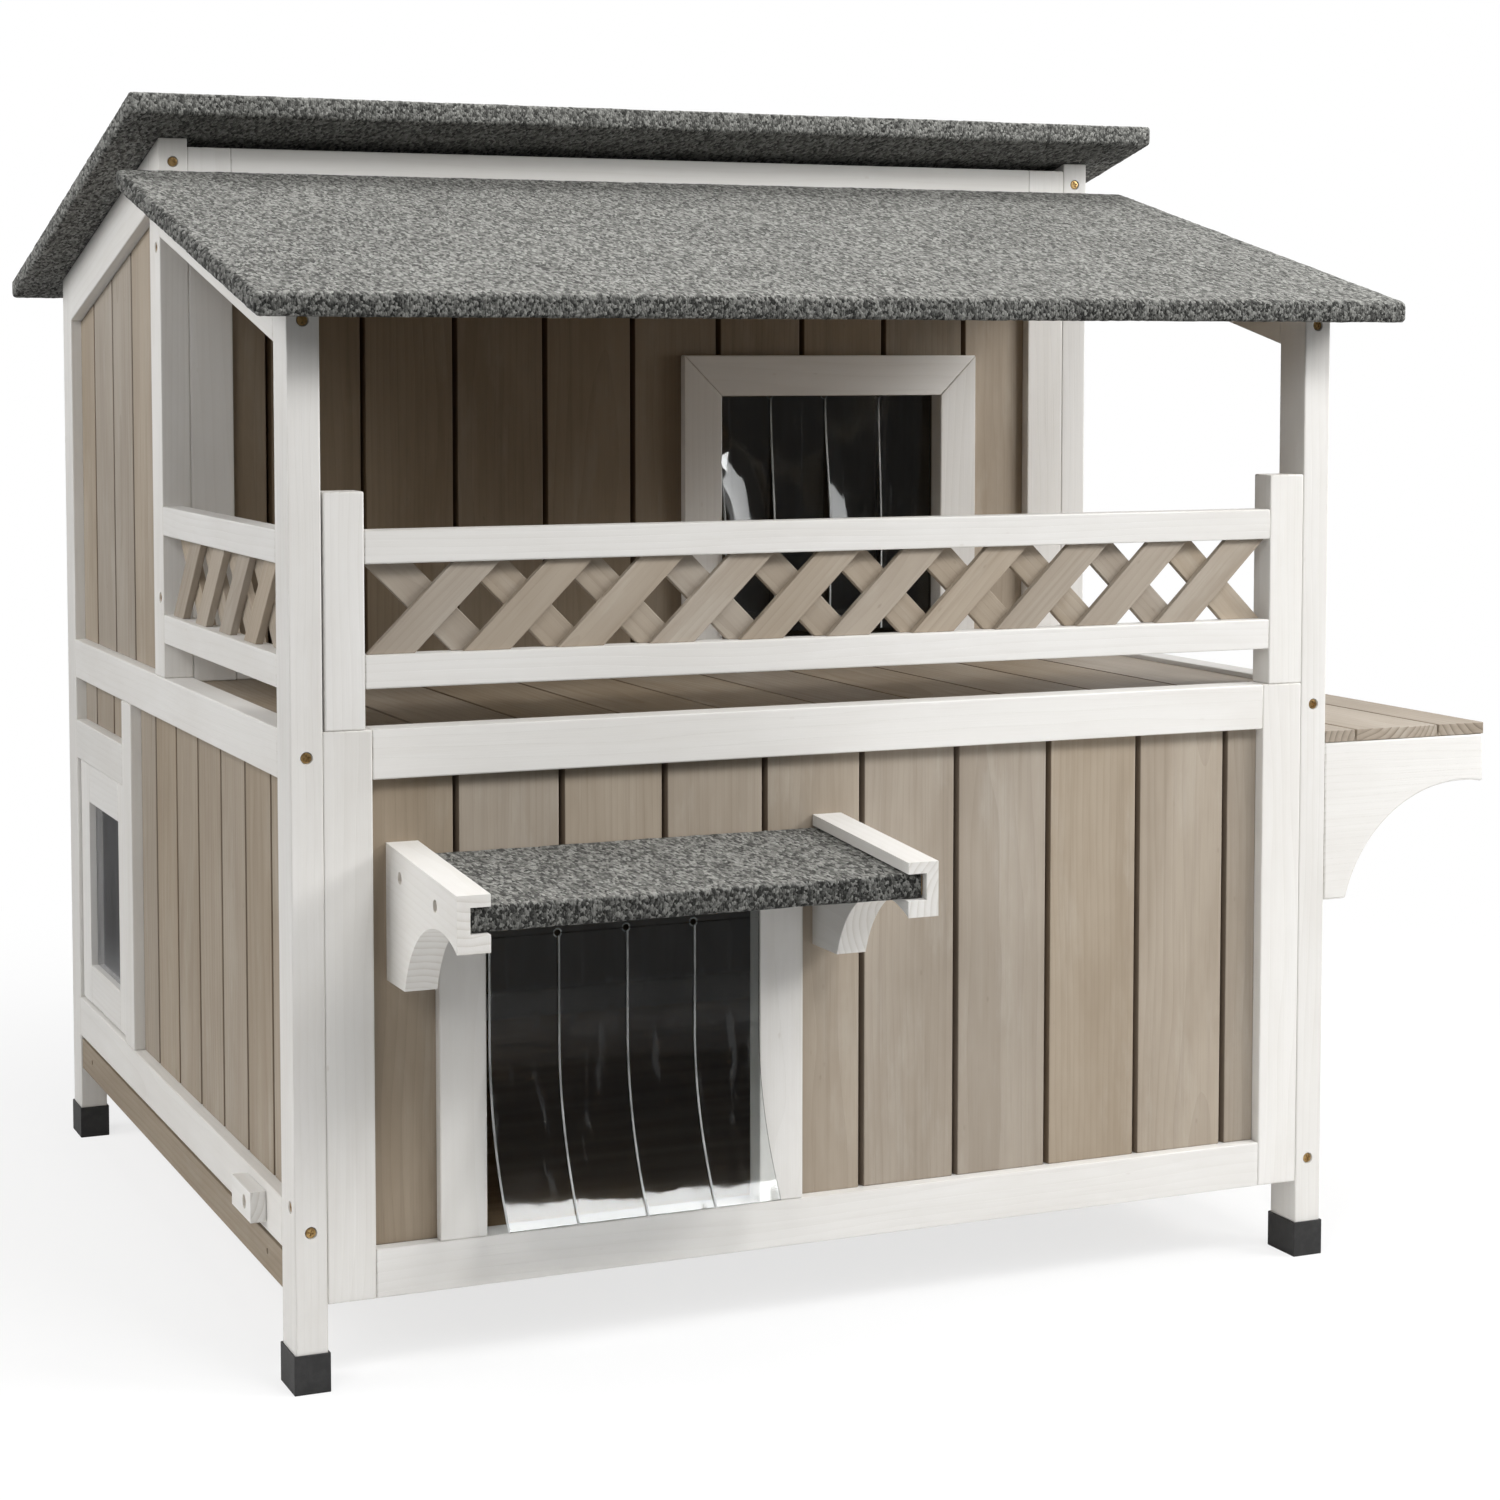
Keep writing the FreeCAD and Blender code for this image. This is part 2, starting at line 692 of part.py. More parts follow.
wall_y = (d.wall_face, wall_back)
wall_top = roof_under(wall_back) - d.wall_drop
wall_head = wall_top - stock
wall_boards_z = (sill_top, wall_head)
node("wall_stiles", *stiles(wall_y, (floor_top, wall_top)))
node("wall_rails", block(inner, wall_y, (floor_top, sill_top)), block(inner, wall_y, (wall_head, wall_top)))

hatch_left_run = lay_back(inner[0], hatch_left, d.board_wide)
hatch_over_run, hatch_right_run = cut_at(lay(hatch_left, inner[1], d.board_wide, d.board_wide), hatch_right)
wall_planes = ("y", wall_boards, wall_boards_back, "x")
wall_panel = together(
    "Part::Compound",
    "Links",
    boarding(*wall_planes, hatch_left_run, wall_boards_z, (False, True))
    + boarding(*wall_planes, hatch_over_run, (d.hatch_top, wall_head), (True, False))
    + boarding(*wall_planes, hatch_right_run, wall_boards_z),
)
hatch_x = (hatch_left, hatch_right)


def trim(wide_by, y):
    """The mitred frame of the upper doorway, made a given width: two sides and the top."""
    outer = (hatch_left - wide_by, hatch_right + wide_by)
    top = d.hatch_top + wide_by
    long, short = (sill_top, top), (sill_top, d.hatch_top)
    left = bar("x", outer[0], hatch_left, "z", long, short, y)
    right = bar("x", hatch_right, outer[1], "z", short, long, y)
    return left, right, bar("z", d.hatch_top, top, "x", hatch_x, outer, y)


node("wall_boards", cut(wall_panel, *trim(d.lining, (wall_boards - PAST, wall_boards_back + PAST))))
trim_face = trim(stock, (d.wall_face, wall_boards))
trim_lined = trim(d.lining, (d.wall_face, wall_boards_back))
node("hatch_trim", *(fuse(face, lining) for face, lining in zip(trim_face, trim_lined)))

# Roofs


def roof_slab(run, under, x, low, high):
    ends = [(under(y) + low, under(y) + high) for y in run]
    return bar("y", *run, "z", *ends, x)


def roof(run, under):
    """A board, and the felt that covers it and turns in under all four edges."""
    felt = d.felt_thick
    core_run = (run[0] + felt, run[1] - felt)
    core_x = (roof_left + felt, roof_right - felt)
    core = (core_run, under, core_x, felt, d.roof_thick - felt)
    bare_run = (run[0] + d.felt_lap, run[1] - d.felt_lap)
    bare_x = (roof_left + d.felt_lap, roof_right - d.felt_lap)
    cover = roof_slab(run, under, (roof_left, roof_right), 0, d.roof_thick)
    doc.recompute()
    rounded = doc.addObject("Part::Fillet", "Rounded")
    rounded.Base = cover
    radius = d.felt_round.value
    rounded.Edges = [(edge, radius, radius) for edge in range(1, 13)]
    bare = roof_slab(bare_run, under, bare_x, -PAST, felt)
    return roof_slab(*core), cut(rounded, roof_slab(*core), bare)


def rafter(x):
    run = (stock, d.wall_face)
    return roof_slab(run, awning_under, x, -d.rafter_deep, 0)


node("awning_rafters", *both_sides(rafter))
for label, run, under in (
    ("awning", (awning_front, awning_back), awning_under),
    ("roof", (roof_front, roof_back), roof_under),
):
    core, felt = roof(run, under)
    node(label + "_board", core)
    node(label + "_felt", felt)

# Roof hinges

hinge_y = deep + d.knuckle_radius
hinge_z = roof_under(hinge_y) - d.hinge_drop
HINGES = (d.hinge_from, wide - d.hinge_from - 3 * d.knuckle_long)


def knuckle(x, low, high):
    return rod("x", (0, hinge_y, hinge_z), d.knuckle_radius, x + low, x + high)


def pin_hole(x):
    return rod("x", (0, hinge_y, hinge_z), d.hinge_pin + d.pin_play, x - PAST, x + 3 * d.knuckle_long + PAST)


def wall_leaf(x):
    plate_y = (deep, deep + d.hinge_thick)
    middle = (x + d.knuckle_long - d.knuckle_cut, x + 2 * d.knuckle_long + d.knuckle_cut)
    plate = block((x, x + 3 * d.knuckle_long), plate_y, (hinge_z - d.hinge_leaf, hinge_z))
    room_z = (hinge_z - d.knuckle_radius - d.knuckle_room, hinge_z + d.knuckle_radius + PAST)
    room = block(middle, (deep - PAST, hinge_y + d.knuckle_radius + PAST), room_z)
    barrel = knuckle(x, 0, 3 * d.knuckle_long)
    return cut(fuse(plate, barrel), room, pin_hole(x))


def roof_leaf(x):
    run = (hinge_y, hinge_y + d.hinge_leaf)
    span = (x + d.knuckle_long, x + 2 * d.knuckle_long)
    plate = roof_slab(run, roof_under, span, -d.hinge_thick, 0)
    return cut(fuse(plate, knuckle(x, d.knuckle_long, 2 * d.knuckle_long)), pin_hole(x))


node("hinge_wall_leaves", *(wall_leaf(x) for x in HINGES))
node("hinge_roof_leaves", *(roof_leaf(x) for x in HINGES))

# Escape door

leaf_x = (d.leaf_inset, d.leaf_inset + d.leaf_thick)
leaf_y = (d.escape_front + d.leaf_gap, back_post - d.leaf_gap)
leaf_z = (left_rail_top + d.leaf_gap, d.escape_top - d.leaf_gap)
glazed_y = (leaf_y[0] + d.leaf_wide, leaf_y[1] - d.leaf_wide)
glazed_z = (leaf_z[0] + d.leaf_wide, leaf_z[1] - d.leaf_wide)
pivot_x = d.leaf_inset + d.leaf_thick / 2
pivot_y = leaf_y[1] - d.pin_inset
PIN_ENDS = (
    (leaf_z[0] - d.leaf_gap - d.pin_hold, leaf_z[0] + d.pin_deep),
    (leaf_z[1] - d.pin_deep, leaf_z[1] + d.leaf_gap + d.pin_hold),
)


def pivot(radius, low, high):
    return rod("z", (pivot_x, pivot_y, 0), radius, low, high)


bores = [pivot(d.pin_radius + d.pin_play, low - PAST, high + PAST) for low, high in PIN_ENDS]
node(
    "escape_door_frame",
    block(leaf_x, (leaf_y[0], glazed_y[0]), leaf_z),
    cut(block(leaf_x, (glazed_y[1], leaf_y[1]), leaf_z), *bores),
    block(leaf_x, glazed_y, (leaf_z[0], glazed_z[0])),
    block(leaf_x, glazed_y, (glazed_z[1], leaf_z[1])),
)
node("escape_door_pane", block((pivot_x - d.pane_thick / 2, pivot_x + d.pane_thick / 2), glazed_y, glazed_z))
hinge_pins = [rod("x", (0, hinge_y, hinge_z), d.hinge_pin, x, x + 3 * d.knuckle_long) for x in HINGES]
node("hinge_pins", *(pivot(d.pin_radius, *ends) for ends in PIN_ENDS), *hinge_pins)

# Floor tray, its runners and the turn-button

tray_y = (stock + d.tray_play, back_post - d.tray_play)
fascia_x = (d.tray_play, d.tray_play + d.fascia_thick)
fascia_z = (d.fascia_low, d.left_rail_low - d.fascia_gap)
runner_top = d.runner_low + d.runner_high
tray_z = (runner_top + d.slide_play, runner_top + d.slide_play + d.tray_thick)
runner_z = (d.runner_low, runner_top)
fascia_mid = (fascia_z[0] + fascia_z[1]) / 2
FASCIA_HOLES = (tray_y[0] + d.fascia_screw, tray_y[1] - d.fascia_screw)

node("tray_floor", block((fascia_x[1], wide - thick - d.tray_stop), tray_y, tray_z))
hole_end = fascia_x[0] + d.fascia_hole
fascia_holes = [rod("x", (0, y, fascia_mid), d.canopy_screw, 0, hole_end) for y in FASCIA_HOLES]
node("tray_fascia", cut(block(fascia_x, tray_y, fascia_z), *fascia_holes))
node(
    "tray_runners",
    block(floor_x, (thick, thick + d.runner_wide), runner_z),
    block(floor_x, (back_face - d.runner_wide, back_face), runner_z),
)

button_y = (d.button_from, d.button_from + d.button_long)
button_z = d.left_rail_low + stock / 2
button_pivot_y = d.button_from + d.button_pivot
button_x = (-d.slide_play - d.button_thick, -d.slide_play)
sink_floor = button_x[0] + d.sink_deep
button_at = (0, button_pivot_y, button_z)
button_bore = rod("x", button_at, d.pin_radius + d.pin_play, button_x[0] - PAST, PAST)
button_sink = rod("x", button_at, d.sink_radius, button_x[0] - PAST, sink_floor)
button_body = block(button_x, button_y, (button_z - d.button_high / 2, button_z + d.button_high / 2))
node("turn_button", cut(button_body, button_bore, button_sink))

# Screws


def screw(axis, at, face, way, length):
    """A screw with its head on a face; way is 1 when its shank runs up the axis, -1 when it runs down."""
    head = sorted((face, face - d.screw_proud * way), key=lambda size: as_size(size).value)
    shank = sorted((face, face + length * way), key=lambda size: as_size(size).value)
    return fuse(rod(axis, at, d.screw_head, *head), rod(axis, at, d.screw_shank, *shank))


def post_screw(x, face, way, z):
    """A screw through a post into the end of a rail, from the front or from the back."""
    return screw("y", (x, 0, z), face, way, d.screw_long)


def side_screw(face, way, y, z):
    """A screw through a post into the stile beside it."""
    return screw("x", (0, y, z), face, way, d.side_screw_long)


left_screw = thick / 2
right_screw = wide - thick / 2
left_low = d.left_rail_low + stock / 2
right_low = d.rail_low + stock / 2
deck_mid = d.deck_top - stock / 2
rafter_mid = awning_under(stock) - d.rafter_screw
rake_front = rake_low(mid_back) + d.rake_screw_front
rake_back = rake_low(back_post) + d.rake_screw_back
screws = []
for x, low in ((left_screw, left_low), (right_screw, right_low)):
    screws += [post_screw(x, as_size(0), 1, z) for z in (low, deck_mid, rafter_mid)]
    screws += [post_screw(x, deep, -1, z) for z in (low, deck_mid, rake_back)]
    screws.append(post_screw(x, d.wall_face, 1, rake_front))
stile_screw_y = d.wall_face + d.side_screw_in
SIDE_SCREWS = (
    (d.side_screw_in, d.rail_low + d.side_screw_up),
    (stile_screw_y, d.deck_top + d.mid_screw_up),
    (stile_screw_y, wall_top - d.mid_screw_down),
)
for y, z in SIDE_SCREWS:
    screws.append(side_screw(as_size(0), 1, y, z))
    screws.append(side_screw(wide, -1, y, z))
sunk = d.canopy_screw_sunk
for out in CANOPY_SCREWS:
    at = (0, *canopy_screw_at(out))
    screws.append(rod("x", at, d.canopy_screw, corbel_left + sunk, corbel_left + thick))
    screws.append(rod("x", at, d.canopy_screw, corbel_right - thick, corbel_right - sunk))
head_seat = sink_floor - d.slide_play
button_head = rod("x", button_at, d.screw_head, head_seat - d.button_head, head_seat)
screws.append(fuse(button_head, rod("x", button_at, d.pin_radius, head_seat, d.button_hold)))
node("screws", *screws)

# Clear curtains

half_sheet = d.sheet_thick / 2
front_slit_top = d.doorway_top - d.slit_below
front_axis_z = front_slit_top - half_sheet - d.strip_play
front_axis_y = -half_sheet
hatch_axis_z = d.hatch_top - half_sheet - d.strip_play
hatch_axis_y = wall_boards_back + half_sheet
STRIPS = 4


def strip_spans(left, right):
    first = left + d.sheet_side
    width = (right - d.sheet_side - first - d.slit_wide * (STRIPS - 1)) / STRIPS
    lows = [first + (width + d.slit_wide) * index for index in range(STRIPS)]
    return [(low, low + width) for low in lows]


def rolled_edge(x, y, z):
    return rod("x", (0, y, z), half_sheet, *x)


def curl(x):
    """The outward curve at the bottom of a front strip."""
    centre = (0, front_axis_y - d.curl_radius, front_axis_z - d.strip_drop)
    lay_on_x = FreeCAD.Rotation(FreeCAD.Vector(1, 1, 1), 120)
    turn = FreeCAD.Rotation(AXES["x"], -d.curl_angle.value).multiply(lay_on_x)
    layers = []
    for radius in (d.curl_radius + half_sheet, d.curl_radius - half_sheet):
        item = rod("x", centre, radius, *x)
        bind(item, "Angle", d.curl_angle)
        place(item, (x[0], centre[1], centre[2]), turn)
        layers.append(item)
    return cut(*layers)


def front_strip(x):
    flat = block(x, (-d.sheet_thick, 0), (front_axis_z - d.strip_drop, front_axis_z))
    return fuse(flat, curl(x), rolled_edge(x, front_axis_y, front_axis_z))


def hatch_strip(x):
    flat_y = (wall_boards_back, wall_boards_back + d.sheet_thick)
    flat = block(x, flat_y, (hatch_axis_z - d.hatch_strip, hatch_axis_z))
    return fuse(flat, rolled_edge(x, hatch_axis_y, hatch_axis_z))


for index, x in enumerate(strip_spans(d.doorway_left, doorway_right), start=1):
    node(f"front_strip_{index}", front_strip(x))
for index, x in enumerate(strip_spans(*hatch_x), start=1):
    node(f"hatch_strip_{index}", hatch_strip(x))
node(
    "curtain_heads",
    block(
        (d.doorway_left + d.sheet_side, doorway_right - d.sheet_side),
        (-d.sheet_thick, 0),
        (front_slit_top, d.doorway_top + d.curtain_head),
    ),
    block(
        (hatch_left + d.sheet_side, hatch_right - d.sheet_side),
        (wall_boards_back, wall_boards_back + d.sheet_thick),
        (d.hatch_top, d.hatch_top + d.curtain_head),
    ),
)

# Check every object, then write one file for each piece

doc.recompute()
for item in doc.Objects:
    if "Invalid" in item.State or "Error" in item.State:
        raise RuntimeError(f"{item.Label} did not build")
    if hasattr(item, "Shape") and (item.Shape.isNull() or not item.Shape.isValid()):
        raise RuntimeError(f"{item.Label} has no sound shape")

os.makedirs("parts", exist_ok=True)
for item in nodes:
    item.Shape.exportStep(f"parts/{item.Label}.step")
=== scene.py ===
import json
import math
import random

import bmesh
import bpy
from mathutils import Matrix, Vector, noise

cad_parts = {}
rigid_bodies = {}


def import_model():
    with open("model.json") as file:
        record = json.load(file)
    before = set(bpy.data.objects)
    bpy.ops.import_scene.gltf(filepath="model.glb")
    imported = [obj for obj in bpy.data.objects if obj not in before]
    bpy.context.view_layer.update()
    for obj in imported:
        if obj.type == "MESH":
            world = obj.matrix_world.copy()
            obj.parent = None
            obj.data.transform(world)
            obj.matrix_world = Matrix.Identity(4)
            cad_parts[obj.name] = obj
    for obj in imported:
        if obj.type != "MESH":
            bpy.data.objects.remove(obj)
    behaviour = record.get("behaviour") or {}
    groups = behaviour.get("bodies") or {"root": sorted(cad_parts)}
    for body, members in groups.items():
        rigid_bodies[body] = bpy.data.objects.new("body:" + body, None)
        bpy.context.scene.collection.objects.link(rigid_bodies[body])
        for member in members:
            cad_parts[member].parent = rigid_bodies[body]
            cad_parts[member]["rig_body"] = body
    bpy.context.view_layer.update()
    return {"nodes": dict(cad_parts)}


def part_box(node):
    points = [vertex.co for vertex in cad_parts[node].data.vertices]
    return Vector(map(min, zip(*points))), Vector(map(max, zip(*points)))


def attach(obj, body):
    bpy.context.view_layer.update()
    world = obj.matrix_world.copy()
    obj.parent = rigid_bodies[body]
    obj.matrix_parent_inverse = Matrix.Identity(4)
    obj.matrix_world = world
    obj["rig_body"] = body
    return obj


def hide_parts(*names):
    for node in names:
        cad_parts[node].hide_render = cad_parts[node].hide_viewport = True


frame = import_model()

# Outdoor cat house: the eased and grained timber, felt, clear curtains and screws that dress the frame.

MM = 0.001
RIGHT, BACK, UP = Vector((1, 0, 0)), Vector((0, 1, 0)), Vector((0, 0, 1))
FOOTPRINT_MIDDLE = Vector((410.5, 302.5, 0))


def at(x, y, z):
    """A place given in millimetres from the outer corner of the front left post, in the frame's metres."""
    return (Vector((x, y, z)) - FOOTPRINT_MIDDLE) * MM


# Camera

scene = bpy.context.scene
scene.view_settings.view_transform = "Standard"

lens = bpy.data.cameras.new("camera")
lens.lens = 72.237
lens.sensor_width = 36
lens.shift_x = 0.0063
lens.shift_y = -0.13
lens.clip_start = 0.05
lens.clip_end = 60
camera = bpy.data.objects.new("camera", lens)
camera.location = at(-451.4, -1709.1, 614.6)
camera.rotation_euler = (math.radians(90 - 3.759), 0, math.radians(-23.365))
scene.collection.objects.link(camera)
scene.camera = camera


# Shader maths

class Socket:
    """One socket of a node tree; sums on sockets add their Math nodes."""

    def __init__(self, tree, link=None):
        self.tree = tree
        self.link = link

    def node(self, kind, settings, inputs, output=0):
        """Any node: its settings are set first, then its sockets get values or links."""
        made = self.tree.nodes.new("ShaderNode" + kind)
        for name, value in settings.items():
            if name == "stops":
                while len(made.color_ramp.elements) < len(value):
                    made.color_ramp.elements.new(1)
                for stop, (place, colour) in zip(made.color_ramp.elements, value):
                    stop.position = place
                    stop.color = colour
            else:
                setattr(made, name, value)
        for name, value in inputs.items():
            if isinstance(value, Socket):
                self.tree.links.new(value.link, made.inputs[name])
            else:
                made.inputs[name].default_value = value
        return Socket(self.tree, made.outputs[output])

    def math(self, operation, first, second):
        return self.node("Math", {"operation": operation}, {0: first, 1: second})

    def __add__(self, other):
        return self.math("ADD", self, other)

    def __radd__(self, other):
        return self.math("ADD", other, self)

    def __sub__(self, other):
        return self.math("SUBTRACT", self, other)

    def __rsub__(self, other):
        return self.math("SUBTRACT", other, self)

    def __mul__(self, other):
        return self.math("MULTIPLY", self, other)

    def __rmul__(self, other):
        return self.math("MULTIPLY", other, self)

    def __truediv__(self, other):
        return self.math("DIVIDE", self, other)

    def __pow__(self, other):
        return self.math("POWER", self, other)

    def above(self, edge, soft):
        """0 below the edge, 1 past it, with a soft step between."""
        settings = {"interpolation_type": "SMOOTHSTEP"}
        return self.node("MapRange", settings, {0: self, 1: edge, 2: edge + soft})

    def stretched(self, x, y, z):
        return self.node("VectorMath", {"operation": "MULTIPLY"}, {0: self, 1: (x, y, z)})

    def noise(self, detail=2.0, rough=0.5):
        inputs = {"Vector": self, "Scale": 1.0, "Detail": detail, "Roughness": rough}
        return self.node("TexNoise", {}, inputs)

    def spots(self, reach, rare):
        """Marks round the points of a random scatter, of which only the rarer ones show."""
        inputs = {"Vector": self, "Scale": 1.0}
        near = self.node("TexVoronoi", {}, inputs, "Distance")
        pick = self.node("SeparateColor", {}, {0: self.node("TexVoronoi", {}, inputs, "Color")}, 0)
        return (1 - near.above(reach, reach * 1.6)) * pick.above(rare, 0.02)

    def mixed(self, share, one, other):
        """Two colours mixed by a share."""
        return self.node("Mix", {"data_type": "RGBA"}, {0: share, 6: one, 7: other}, 2)

    def toward(self, colour, share):
        """This colour mixed with another by a share."""
        return self.mixed(share, self, colour)


def colour(red, green, blue):
    """A colour as it reads on a screen, 0 to 255, as the linear value a shader takes."""
    return tuple(linear(part / 255) for part in (red, green, blue)) + (1.0,)


def linear(part):
    return part / 12.92 if part <= 0.04045 else ((part + 0.055) / 1.055) ** 2.4


def new_finish(name):
    material = bpy.data.materials.new(name)
    material.use_nodes = True
    material.node_tree.nodes.clear()
    return material, Socket(material.node_tree)


def close_finish(start, shader):
    out = start.tree.nodes.new("ShaderNodeOutputMaterial")
    start.tree.links.new(shader.link, out.inputs["Surface"])


def attribute(start, name, output):
    return start.node("Attribute", {"attribute_name": name}, {}, output)


def object_place(start):
    return start.node("TexCoord", {}, {}, "Object")


def bump(start, height, strength, distance):
    return start.node("Bump", {}, {"Height": height, "Strength": strength, "Distance": distance})


# Finishes

RING_SPACING = 4.6 * MM


def timber(name, colours, shares, gloss):
    """Stained softwood: rings about a pith beside the stick, fibres along it, and an uneven stain."""
    face, wash, haze, late, knot, sunk = colours
    ring_share, fibre_share, wash_share, haze_share, tone_share = shares
    material, start = new_finish(name)
    grain = attribute(start, "grain", "Vector")
    tone = attribute(start, "tone", "Fac")
    arris = attribute(start, "arris", "Fac")
    groove = attribute(start, "groove", "Fac")
    end = attribute(start, "end", "Fac")
    split = [start.node("SeparateXYZ", {}, {0: grain}, axis) for axis in "XYZ"]
    sway = grain.stretched(3.2, 16, 16).noise(2)
    pith = (split[1] * split[1] + split[2] * split[2]) ** 0.5
    ring = start.node("Math", {"operation": "FRACT"}, {0: (pith + sway * 0.02) / RING_SPACING})
    ring_line = ring ** 3.0
    fibre = grain.stretched(22, 1100, 1100).noise(3, 0.6)
    wide_fibre = grain.stretched(4, 190, 190).noise(3, 0.6)
    cloud = grain.stretched(5, 19, 19).noise(4, 0.62)
    streak = grain.stretched(2.2, 60, 60).noise(3, 0.55)
    smear = grain.stretched(8, 34, 34).noise(5, 0.65)
    knots = grain.stretched(7, 15, 15).spots(0.07, 0.9)
    specks = grain.stretched(120, 260, 260).spots(0.12, 0.985)

    base = start.mixed(cloud.above(0.36, 0.34), face, wash)
    base = base.toward(wash, streak.above(0.48, 0.3) * wash_share)
    base = base.toward(haze, smear.above(0.5, 0.22) * haze_share)
    base = base.toward(late, ring_line * (0.35 + streak) * ring_share * (1 + end * 5))
    base = base.toward(late, wide_fibre.above(0.5, 0.3) * fibre_share)
    base = base.toward(late, fibre.above(0.52, 0.25) * fibre_share * 0.6)
    base = base.toward(knot, knots * 0.4)
    base = base.toward(knot, specks * 0.3)
    base = base.toward(late, arris * streak.above(0.4, 0.3) * 0.3)
    base = base.toward(sunk, groove * 0.85)
    warmth = start.node("Math", {"operation": "FRACT"}, {0: tone * 7.3})
    # A tone below zero comes only from painted shade, which darkens the wood and deepens its colour.
    shaded_depth = start.math("MAXIMUM", tone * -1.0, 0.0)
    inputs = {
        "Color": base,
        "Saturation": 0.8 + warmth * 0.25 + shaded_depth * 0.15,
        "Value": 1 - tone_share + tone * (2 * tone_share),
    }
    base = start.node("HueSaturation", {}, inputs)
    rough = gloss + ring_line * 0.06 + fibre * 0.16
    height = ring_line * -0.5 + fibre * 0.45 + wide_fibre * 0.8 - knots * 0.4
    normal = bump(start, height, 0.4, 0.0003)
    shader = start.node(
        "BsdfPrincipled", {}, {"Base Color": base, "Roughness": rough, "Normal": normal, "IOR": 1.45}
    )
    close_finish(start, shader)
    return material


def felt(name):
    """Mineral roofing felt: crushed slate in dark bitumen, with painted shade on the faces that turn away
    from up.
    """
    material, start = new_finish(name)
    place = object_place(start)
    bend = attribute(start, "bend", "Fac")
    tone = attribute(start, "tone", "Fac")
    inputs = {"Vector": place.stretched(680, 250, 540), "Scale": 1.0, "Randomness": 1.0}
    chip = start.node("TexVoronoi", {}, inputs, "Color")
    edge = start.node("TexVoronoi", {}, inputs, "Distance")
    shade = start.node("SeparateColor", {}, {0: chip}, 0)
    fine = place.stretched(900, 480, 900).noise(2, 0.6)
    cloud = place.stretched(14, 14, 14).noise(3, 0.6)
    # Painted shade: bend darkens the felt on its sides and underside.
    level = shade * 0.55 + fine * 0.45 + (cloud - 0.5) * 0.12 - bend * 0.19 + tone
    stops = [
        (0.12, colour(35, 35, 33)),
        (0.34, colour(85, 85, 82)),
        (0.58, colour(128, 128, 124)),
        (0.8, colour(163, 163, 158)),
        (1.0, colour(206, 205, 199)),
    ]
    base = start.node("ValToRGB", {"stops": stops}, {0: level})
    normal = bump(start, shade * 0.6 - edge * 0.8 + fine * 0.5, 0.8, 0.0011)
    shader = start.node(
        "BsdfPrincipled",
        {},
        {"Base Color": base, "Roughness": 0.88 - shade * 0.2, "Normal": normal, "Specular IOR Level": 0.25},
    )
    close_finish(start, shader)
    return material


def plywood(name):
    """Thin plywood: a plain peeled face and darker glue lines."""
    material, start = new_finish(name)
    grain = attribute(start, "grain", "Vector")
    flame = grain.stretched(3, 24, 24).noise(4, 0.6)
    fibre = grain.stretched(18, 800, 800).noise(3, 0.6)
    base = start.mixed(flame.above(0.35, 0.3), colour(196, 172, 136), colour(170, 143, 108))
    base = base.toward(colour(128, 102, 72), fibre.above(0.5, 0.3) * 0.4)
    normal = bump(start, fibre + flame * 0.4, 0.5, 0.0004)
    inputs = {"Base Color": base, "Roughness": 0.62 + fibre * 0.15, "Normal": normal}
    close_finish(start, start.node("BsdfPrincipled", {}, inputs))
    return material


def rubber(name):
    """Moulded black rubber with a dull bloom."""
    material, start = new_finish(name)
    place = object_place(start)
    bloom = place.stretched(160, 160, 160).noise(4, 0.65)
    speck = place.stretched(1500, 1500, 1500).noise(2, 0.6)
    base = start.mixed(bloom.above(0.35, 0.4), colour(34, 34, 34), colour(50, 49, 49))
    base = base.toward(colour(70, 70, 70), speck.above(0.66, 0.1) * 0.4)
    normal = bump(start, speck + bloom * 0.5, 0.35, 0.0004)
    inputs = {"Base Color": base, "Roughness": 0.5 + bloom * 0.25, "Normal": normal}
    close_finish(start, start.node("BsdfPrincipled", {}, inputs))
    return material


def plated(name, face, stain):
    """Plated steel with faint turning marks and stain."""
    material, start = new_finish(name)
    place = object_place(start)
    cloud = place.stretched(420, 420, 420).noise(4, 0.6)
    scratch = place.stretched(2600, 2600, 700).noise(2, 0.6)
    base = start.mixed(cloud.above(0.42, 0.3), face, stain)
    normal = bump(start, scratch, 0.3, 0.0002)
    inputs = {
        "Base Color": base,
        "Metallic": 1 - cloud.above(0.6, 0.2) * 0.3,
        "Roughness": 0.26 + scratch * 0.25,
        "Normal": normal,
    }
    close_finish(start, start.node("BsdfPrincipled", {}, inputs))
    return material


def clear(name, tint, haze, waves, marks):
    """Clear plastic sheet: soft ripples in its gloss, and faint scuffs from handling."""
    material, start = new_finish(name)
    place = object_place(start)
    ripple = place.stretched(26, 26, 11).noise(2, 0.5)
    smear = place.stretched(60, 60, 22).noise(4, 0.6)
    normal = bump(start, ripple, waves, 0.003)
    inputs = {
        "Base Color": tint,
        "Roughness": haze + smear.above(0.5, 0.3) * haze * 1.5,
        "Normal": normal,
        "Transmission Weight": 1.0,
        "IOR": 1.42,
        "Specular IOR Level": 0.3,
    }
    sheet = start.node("BsdfPrincipled", {}, inputs)
    scuff = start.node("BsdfDiffuse", {}, {"Color": colour(214, 218, 220)})
    rub = place.stretched(95, 0, 19).noise(3, 0.65).above(0.57, 0.12) * marks
    close_finish(start, start.node("MixShader", {}, {0: rub, 1: sheet, 2: scuff}))
    return material


def cut_edge(name):
    """The cut edge of the clear sheet: a frosted cut with a painted highlight for the light it gathers."""
    material, start = new_finish(name)
    cloud = object_place(start).stretched(120, 120, 40).noise(3)
    base = start.mixed(cloud.above(0.3, 0.4), colour(150, 152, 152), colour(206, 208, 207))
    inputs = {"Base Color": base, "Roughness": 0.3, "Transmission Weight": 0.35, "IOR": 1.42}
    close_finish(start, start.node("BsdfPrincipled", {}, inputs))
    return material


